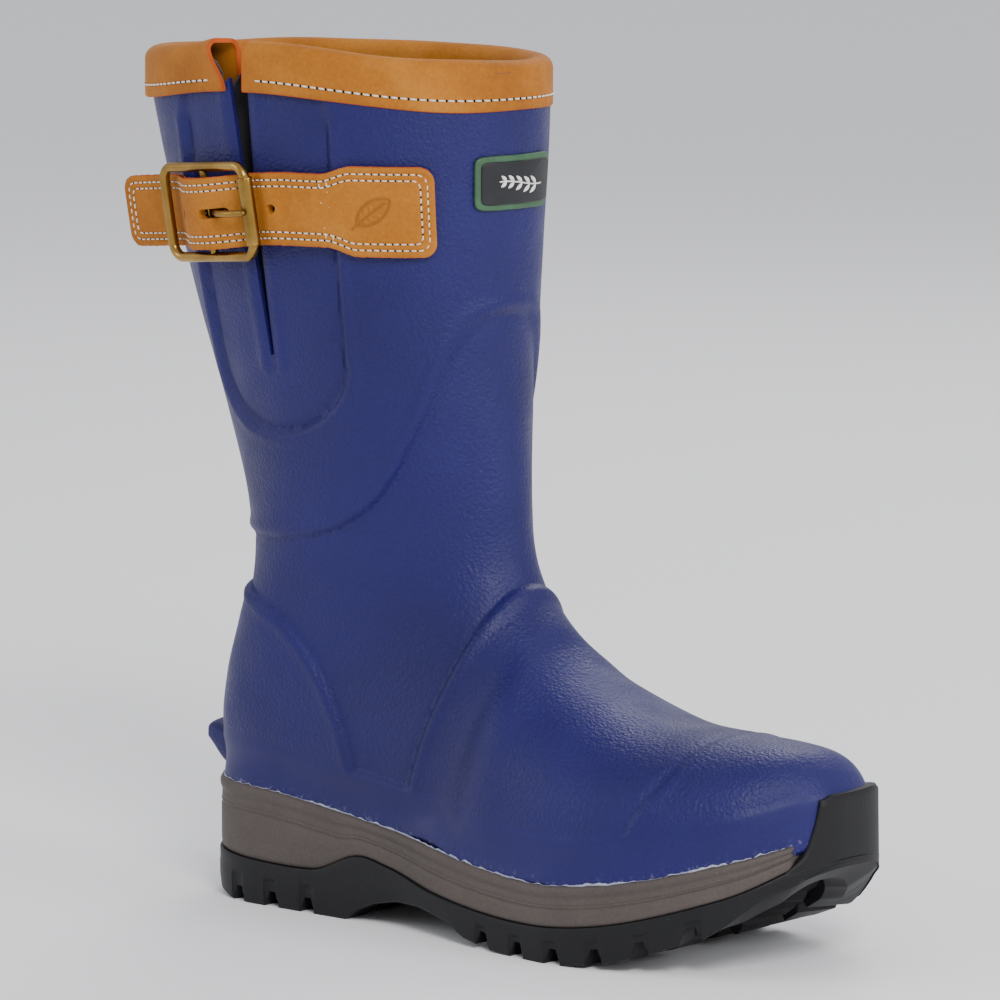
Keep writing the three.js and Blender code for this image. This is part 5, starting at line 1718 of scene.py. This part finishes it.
def under_form(tree, xy, otherwise):
    """Height of the form's underside over plan points."""
    out = np.array(otherwise, float)
    for i, (x, y) in enumerate(xy):
        hit = tree.ray_cast(Vector((x, y, -20.0)), Vector((0, 0, 1)))[0]
        if hit is not None:
            out[i] = min(out[i], hit.z)
    return out


def closed_by_spine(points, faces):
    """Merges the spine vertices that the two sides share."""
    mesh = bpy.data.meshes.new("work")
    mesh.from_pydata(np.asarray(points).tolist(), [], faces)
    work = bmesh.new()
    work.from_mesh(mesh)
    bmesh.ops.remove_doubles(work, verts=work.verts, dist=0.02)
    bmesh.ops.dissolve_degenerate(work, edges=work.edges, dist=1e-4)
    work.to_mesh(mesh)
    work.free()
    out = np.array([v.co for v in mesh.vertices])
    kept = [tuple(p.vertices) for p in mesh.polygons]
    bpy.data.meshes.remove(mesh)
    return out, kept


def sole_distances(extra=()):
    """Outline stations every 1.5 mm or so, paired across the foot, with extra x values put in."""
    t = np.linspace(0, np.pi, 190)
    middle, half = SOLE_LENGTH / 2 - HEEL_OVERHANG, SOLE_LENGTH / 2
    x = middle - half * np.cos(t)
    x = np.unique(np.round(np.concatenate([x, extra]), 4))
    x = x[(x >= -HEEL_OVERHANG) & (x <= SOLE_TIP)]
    return np.concatenate([outer_travel(x), inner_travel(x)[::-1][1:-1]])


def make_midsole(tree):
    """The taupe midsole: a rolled bead on top, a double groove and a flat wall."""
    d = sole_distances()
    k = len(d)
    edge = loop_at(d)
    x = edge[:, 0]
    high, low = midsole_top(x), outsole_top(x) + 0.05
    tall = high - low
    # (share of the wall's height from its foot, inset)
    wall = [(0.0, 1.6), (0.02, 1.0), (0.08, 0.75)]
    wall += [(s, 0.7) for s in (0.16, 0.24, 0.32)]
    rings = []
    inner_side = d > TOE_TRAVEL
    tucked = 3.2 * smoothstep(x + BUMPER_WRAP * inner_side, 258.5, 261)
    for share, inset in wall:
        p = loop_at(d, inset + tucked)
        rings.append(np.concatenate([p, (low + tall * share)[:, None]], 1))
    # the grooves and the bead keep their real distance below the top
    drops = [(10.6, 0.72), (10.0, 1.15), (9.5, 1.2), (9.0, 0.8), (8.6, 0.75), (8.2, 1.05), (7.8, 0.9)]
    drops += [(7.0, 0.95), (5.8, 1.0), (5.0, 1.05), (4.4, 0.75), (3.6, 0.45), (2.6, 0.3), (1.6, 0.4)]
    drops += [(0.8, 0.8), (0.3, 1.4), (0.0, 2.3)]
    room = np.minimum(1.0, tall * 0.62 / 10.6)
    for drop, inset in drops:
        p = loop_at(d, inset + tucked)
        rings.append(np.concatenate([p, (high - drop * room)[:, None]], 1))
    spine = spine_of(edge)
    for share in (0.06, 0.085, 0.12, 0.18, 0.26, 0.38, 0.55, 0.75, 1.0):
        p = edge + (spine - edge) * share
        ceiling = under_form(tree, p, high - 0.1) - (0 if share < 0.07 else 0.2)
        ceiling = np.maximum(ceiling, low + 0.3)
        rings.append(np.concatenate([p, ceiling[:, None]], 1))
    for share in (0.75, 0.5, 0.25, 0.08):
        p = edge + (spine - edge) * share
        rings.append(np.concatenate([p, low[:, None]], 1))
    n = len(rings)
    faces = ring_faces(n, k)
    faces += [((n - 1) * k + j, (n - 1) * k + (j + 1) % k, (j + 1) % k, j) for j in range(k)]
    points, faces = closed_by_spine(np.concatenate(rings), faces)
    made = piece("midsole_wall", points, faces, TAUPE, "boot")
    sharpen(made, 55)
    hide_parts("midsole")


TREAD = [
    (-5, 9),
    (3, 5),
    (10, 2),
    (20, 0),
    (along(0.28), 0),
    (along(0.3), 4),
    (along(0.33), 7.2),
    (along(0.375), 9.7),
    (along(0.42), 9.7),
    (along(0.48), 7),
    (along(0.51), 3),
    (along(0.56), 0.6),
    (along(0.6), 0),
    (along(0.7), 0),
    (along(0.755), 2.5),
    (along(0.81), 6.4),
    (along(0.87), 12.6),
    (along(0.93), 18.2),
    (along(0.97), 24.5),
    (along(1), 33),
    (SOLE_LENGTH + 5, 40),
]
# Side notches between the lugs, in line with the solid tread's slots: x of each middle
LUG_PITCH = 17.0
LUG_DEPTH = 4.5
NOTCH_ROWS = [(23.0, 3), (BALL_X - 28.0, 6)]
NOTCHES = [start + i * LUG_PITCH for start, count in NOTCH_ROWS for i in range(count)]
NOTCH_HALF = 2.4
NOTCH_DEPTH = 5.4
NOTCH_DRAFT = 2.2
TOE_BEVEL = 7.5
BUMPER_WRAP = 9.0


def tread_height(x):
    return np.interp(x, *zip(*TREAD))


def notch_depth(x):
    """How deep the notch between two side lugs is at x, with sloping walls."""
    depth = np.zeros_like(np.asarray(x, float))
    for middle in NOTCHES:
        share = np.clip((NOTCH_HALF - np.abs(x - middle)) / NOTCH_DRAFT + 0.5, 0, 1)
        depth = np.maximum(depth, NOTCH_DEPTH * share)
    return depth


def toe_lift(x):
    """How far the wall's foot is bevelled up round the toe."""
    return TOE_BEVEL * smoothstep(x, 236, 254)


def make_outsole():
    """The lugged outsole: side lugs with drafted notches, two rows of middle lugs and an arch recess."""
    walls = [NOTCH_HALF + e for e in (-NOTCH_DRAFT / 2, 0.0, NOTCH_DRAFT / 2)]
    corners = [middle + side * w for middle in NOTCHES for side in (-1, 1) for w in walls]
    d = sole_distances(np.array(corners))
    k = len(d)
    edge = loop_at(d)
    x = edge[:, 0]
    tread = tread_height(x)
    top = np.where(x < along(0.96), outsole_top(x), outsole_top(along(0.96)) + (x - along(0.96)) * 0.4)
    notch = notch_depth(x)
    lift = toe_lift(x)
    arch = smoothstep(x, 74, 84) * (1 - smoothstep(x, 128, 138))
    spine = spine_of(edge)
    rings = []

    def ring(share, z, inset=None):
        p = edge + (spine - edge) * share if inset is None else loop_at(d, inset)
        rings.append(np.concatenate([p, np.asarray(z)[:, None]], 1))

    # top plate from the spine out, then the wall down to the lug edge
    for share in (1.0, 0.6, 0.3, 0.1):
        ring(share, top)
    tall = top - tread
    ring(0, top, 1.2)
    ring(0, top - 0.15, 0.35)
    for share in (0.06, 0.2, 0.34):
        ring(0, top - tall * share, 0.05 + 0.35 * share)
    # each lug's face steps out a little below the band, and its foot is bevelled
    lug_out = (notch < 0.2) * 0.35
    for share, inset in ((0.42, 0.3), (0.5, 0.15), (0.7, 0.35), (0.85, 0.55)):
        z = np.maximum(top - tall * share, tread + notch + lift)
        ring(0, z, np.maximum(0, inset - lug_out + notch * 0.12))
    ring(0, tread + notch + lift + 0.5, 0.75 - lug_out + notch * 0.14)
    ring(0, tread + notch + lift, 1.3 - lug_out + notch * 0.14)
    # underside: side lugs, a groove, middle lugs, a groove, and the centre channel
    stagger = np.clip((2.3 - np.abs(np.mod(x + 4, LUG_PITCH) - LUG_PITCH / 2)) / 0.8 + 0.5, 0, 1)
    floor = tread + LUG_DEPTH * (1 - 0.6 * arch)
    lug = tread + notch
    mid = tread + stagger * LUG_DEPTH * (1 - arch)
    for share, z in (
        (0.05, lug + lift * 0.75),
        (0.20, lug),
        (0.34, lug),
        (0.365, floor),
        (0.42, floor),
        (0.445, mid),
        (0.60, mid),
        (0.78, mid),
        (0.805, floor),
        (1.0, floor),
    ):
        ring(share, np.minimum(z, top - 2))
    n = len(rings)
    faces = ring_faces(n, k)
    points, faces = closed_by_spine(np.concatenate(rings), faces)
    points, faces = joined([(points, faces), bumper_mesh()])
    made = piece("outsole_lugs", points, faces, BLACK, "boot")
    sharpen(made, 28)
    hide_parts("outsole")


def bumper_mesh():
    """The toe bumper: a wall round the toe whose side edges slope forward as they rise."""
    z_top = BUMPER_HEIGHT - 0.6
    heights = np.concatenate([np.linspace(26, z_top - 3, 16), z_top - 3 + np.array([1.0, 1.9, 2.6, 3.0])])
    q = np.linspace(-1, 1, 121)
    edge_line = smooth_line([(24, 253.5), (36, 257.3), (41, 261.0), (49, 262.9), (60, 264.0), (64, 264.3)])
    outer = np.zeros((len(heights), len(q), 3))
    inner = np.zeros_like(outer)
    for i, z in enumerate(heights):
        side_x = float(edge_line(z))
        reach = np.where(
            q < 0, TOE_TRAVEL - outer_travel(side_x), inner_travel(side_x - BUMPER_WRAP) - TOE_TRAVEL
        )
        d = TOE_TRAVEL + q * reach
        near_end = (1 - np.abs(q)) * reach
        bevel = 1.1 * np.exp(-near_end / 0.8) + 0.9 * smoothstep(z, z_top - 1.5, z_top)
        bevel += 0.4 * smoothstep(z, 30, 62)
        crest = z - 1.4 * smoothstep(np.abs(q), 0.45, 1.0) * smoothstep(z, z_top - 12, z_top)
        x = loop_at(d)[:, 0]
        foot = tread_height(x) + toe_lift(x) + 1.2
        crest = np.maximum(crest, foot + 0.01 * i)
        p = loop_at(d, 0.1 + bevel)
        outer[i, :, :2], outer[i, :, 2] = p, crest
        back = loop_at(d, np.full(len(q), UPPER_INSET + 2.2))
        inner[i, :, :2], inner[i, :, 2] = back, crest
    return thicken(outer.reshape(-1, 3), inner.reshape(-1, 3), sheet_faces(len(heights), len(q)))


def make_glue():
    """The rough bead of adhesive that shows along the joint of the upper and the midsole."""
    count = 900
    d = np.linspace(0, LOOP_LENGTH, count, endpoint=False)
    x = loop_at(d)[:, 0]
    keep_out = x + BUMPER_WRAP * (d > TOE_TRAVEL) > 258
    z = midsole_top(x) + 0.1
    rough = RANDOM.normal(0, 1, count)
    slow = np.convolve(np.tile(rough, 3), np.ones(25) / 25, "same")[count : 2 * count]
    fast = np.convolve(np.tile(rough, 3), np.ones(3) / 3, "same")[count : 2 * count]
    radius = np.clip(0.3 + 0.7 * slow + 0.12 * fast, 0.08, 0.7)
    p = loop_at(d, np.full(count, JOINT_INSET - 0.15))
    path = np.concatenate([p, (z + 0.25 * fast)[:, None]], 1)
    path = path[~keep_out]
    radius = radius[~keep_out]
    split = int(np.argmax(np.linalg.norm(np.diff(path, axis=0), axis=1))) + 1
    path = np.concatenate([path[split:], path[:split]])
    radius = np.concatenate([radius[split:], radius[:split]])
    points, faces = round_tube(path, radius, 6)
    bead = piece("joint_glue_bead", points, faces, GLUE, "boot")
    triangulate_caps(bead)


def make_footbed():
    """The footbed: a thin pad with a raised rim at the heel and a dished top."""
    tree = form_tree(LINING_IN - GAP)
    low_lift, thick = -LINING_IN + GAP + 2 + GAP, 5.0
    stations = np.concatenate([np.linspace(7, 30, 12), np.linspace(34, 225, 40), np.linspace(229, 253, 16)])
    columns = 29
    shares = np.sin(np.linspace(-np.pi / 2, np.pi / 2, columns))
    top, low = [], []
    for x in stations:
        z = float(bed_line(x)) + low_lift + 2.5
        walls = []
        for sign in (-1, 1):
            hit = tree.ray_cast(Vector((x, float(sole_centre(x)), z)), Vector((0, sign, 0)))[0]
            walls.append(hit.y if hit is not None else float(sole_centre(x)) + sign * 4)
        centre, half = (walls[0] + walls[1]) / 2, (walls[1] - walls[0]) / 2 - 1.2
        half = max(half, 1.0)
        y = centre + shares * half
        dish = 1.1 * (1 - shares**2) - 0.6 * (np.abs(shares) > 0.97)
        base = float(bed_line(x)) + low_lift
        station = np.full(columns, x)
        top.append(np.stack([station, y, base + thick - dish], 1))
        low.append(np.stack([station, centre + shares * (half - 0.8), np.full(columns, base + 0.2)], 1))
    top, low = np.array(top), np.array(low)
    turned = sheet_faces(len(stations), columns)[:, [0, 3, 2, 1]]
    points, faces = thicken(top.reshape(-1, 3), low.reshape(-1, 3), turned)
    footbed = piece("footbed_pad", points, faces, FOOTBED, "boot")
    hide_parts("footbed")


# ---- Floor, light and camera ----
FLOOR_REACH = 6.0
LIGHT_TARGET = Vector((0, 0, 0.14))
# Area lights: (name, place in metres, size in metres, watts)
LIGHTS = [
    ("key", (1.5, -1.1, 1.5), 0.7, 34),
    ("fill", (-1.6, -1.3, 0.9), 1.0, 7),
    ("rim", (-0.6, 1.6, 1.6), 1.0, 14),
    ("front", (1.9, 0.3, 0.9), 0.6, 12),
]


def make_stage():
    floor_mesh = bpy.data.meshes.new("floor")
    corners = [(FLOOR_REACH * x, FLOOR_REACH * y, 0) for x, y in ((-1, -1), (1, -1), (1, 1), (-1, 1))]
    floor_mesh.from_pydata(corners, [], [(0, 1, 2, 3)])
    floor = add_object("floor", floor_mesh)
    paint = Maker("floor_paint", 0.7, specular=0.2)
    paint.shader.inputs["Base Color"].default_value = (0.93, 0.93, 0.94, 1)
    floor_mesh.materials.append(paint.material)
    world = bpy.data.worlds.new("studio")
    bpy.context.scene.world = world
    world.use_nodes = True
    sky = world.node_tree.nodes["Background"].inputs
    sky["Color"].default_value = (0.95, 0.96, 1.0, 1)
    sky["Strength"].default_value = 0.8
    for name, place, size, power in LIGHTS:
        light = bpy.data.lights.new(name, "AREA")
        light.size = size
        light.energy = power
        lamp = add_object(name, light)
        lamp.location = place
        aim = LIGHT_TARGET - lamp.location
        lamp.rotation_mode = "QUATERNION"
        lamp.rotation_quaternion = aim.to_track_quat("-Z", "Y")


CAMERA_AZIMUTH = 40.0
CAMERA_ELEVATION = 7.7
CAMERA_DISTANCE = 2.35
CAMERA_TARGET = (116.3, 0.0, 149.0)
CAMERA_LENS = 241.92


def make_camera():
    camera = add_object("camera", bpy.data.cameras.new("camera"))
    camera.data.lens = CAMERA_LENS
    camera.data.sensor_width = 36
    camera.data.clip_end = 50
    a, e = math.radians(CAMERA_AZIMUTH), math.radians(CAMERA_ELEVATION)
    back = Vector((math.sin(a) * math.cos(e), -math.cos(a) * math.cos(e), math.sin(e)))
    target = Vector(to_frame([CAMERA_TARGET])[0])
    camera.location = target + back * CAMERA_DISTANCE
    camera.rotation_mode = "QUATERNION"
    camera.rotation_quaternion = (-back).to_track_quat("-Z", "Y")
    bpy.context.scene.camera = camera


def paint_cad(node, material):
    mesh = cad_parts[node].data
    mesh.materials.clear()
    mesh.materials.append(material)


make_camera()
make_stage()
make_upper()
make_lining()
make_gusset()
make_collar()
make_strap()
make_buckle()
make_label()
make_spur()
SOLE_TREE = form_tree(GAP)
make_midsole(SOLE_TREE)
make_outsole()
make_glue()
make_footbed()
paint_cad("insole_board", FIBRE)
paint_cad("shank", STEEL)
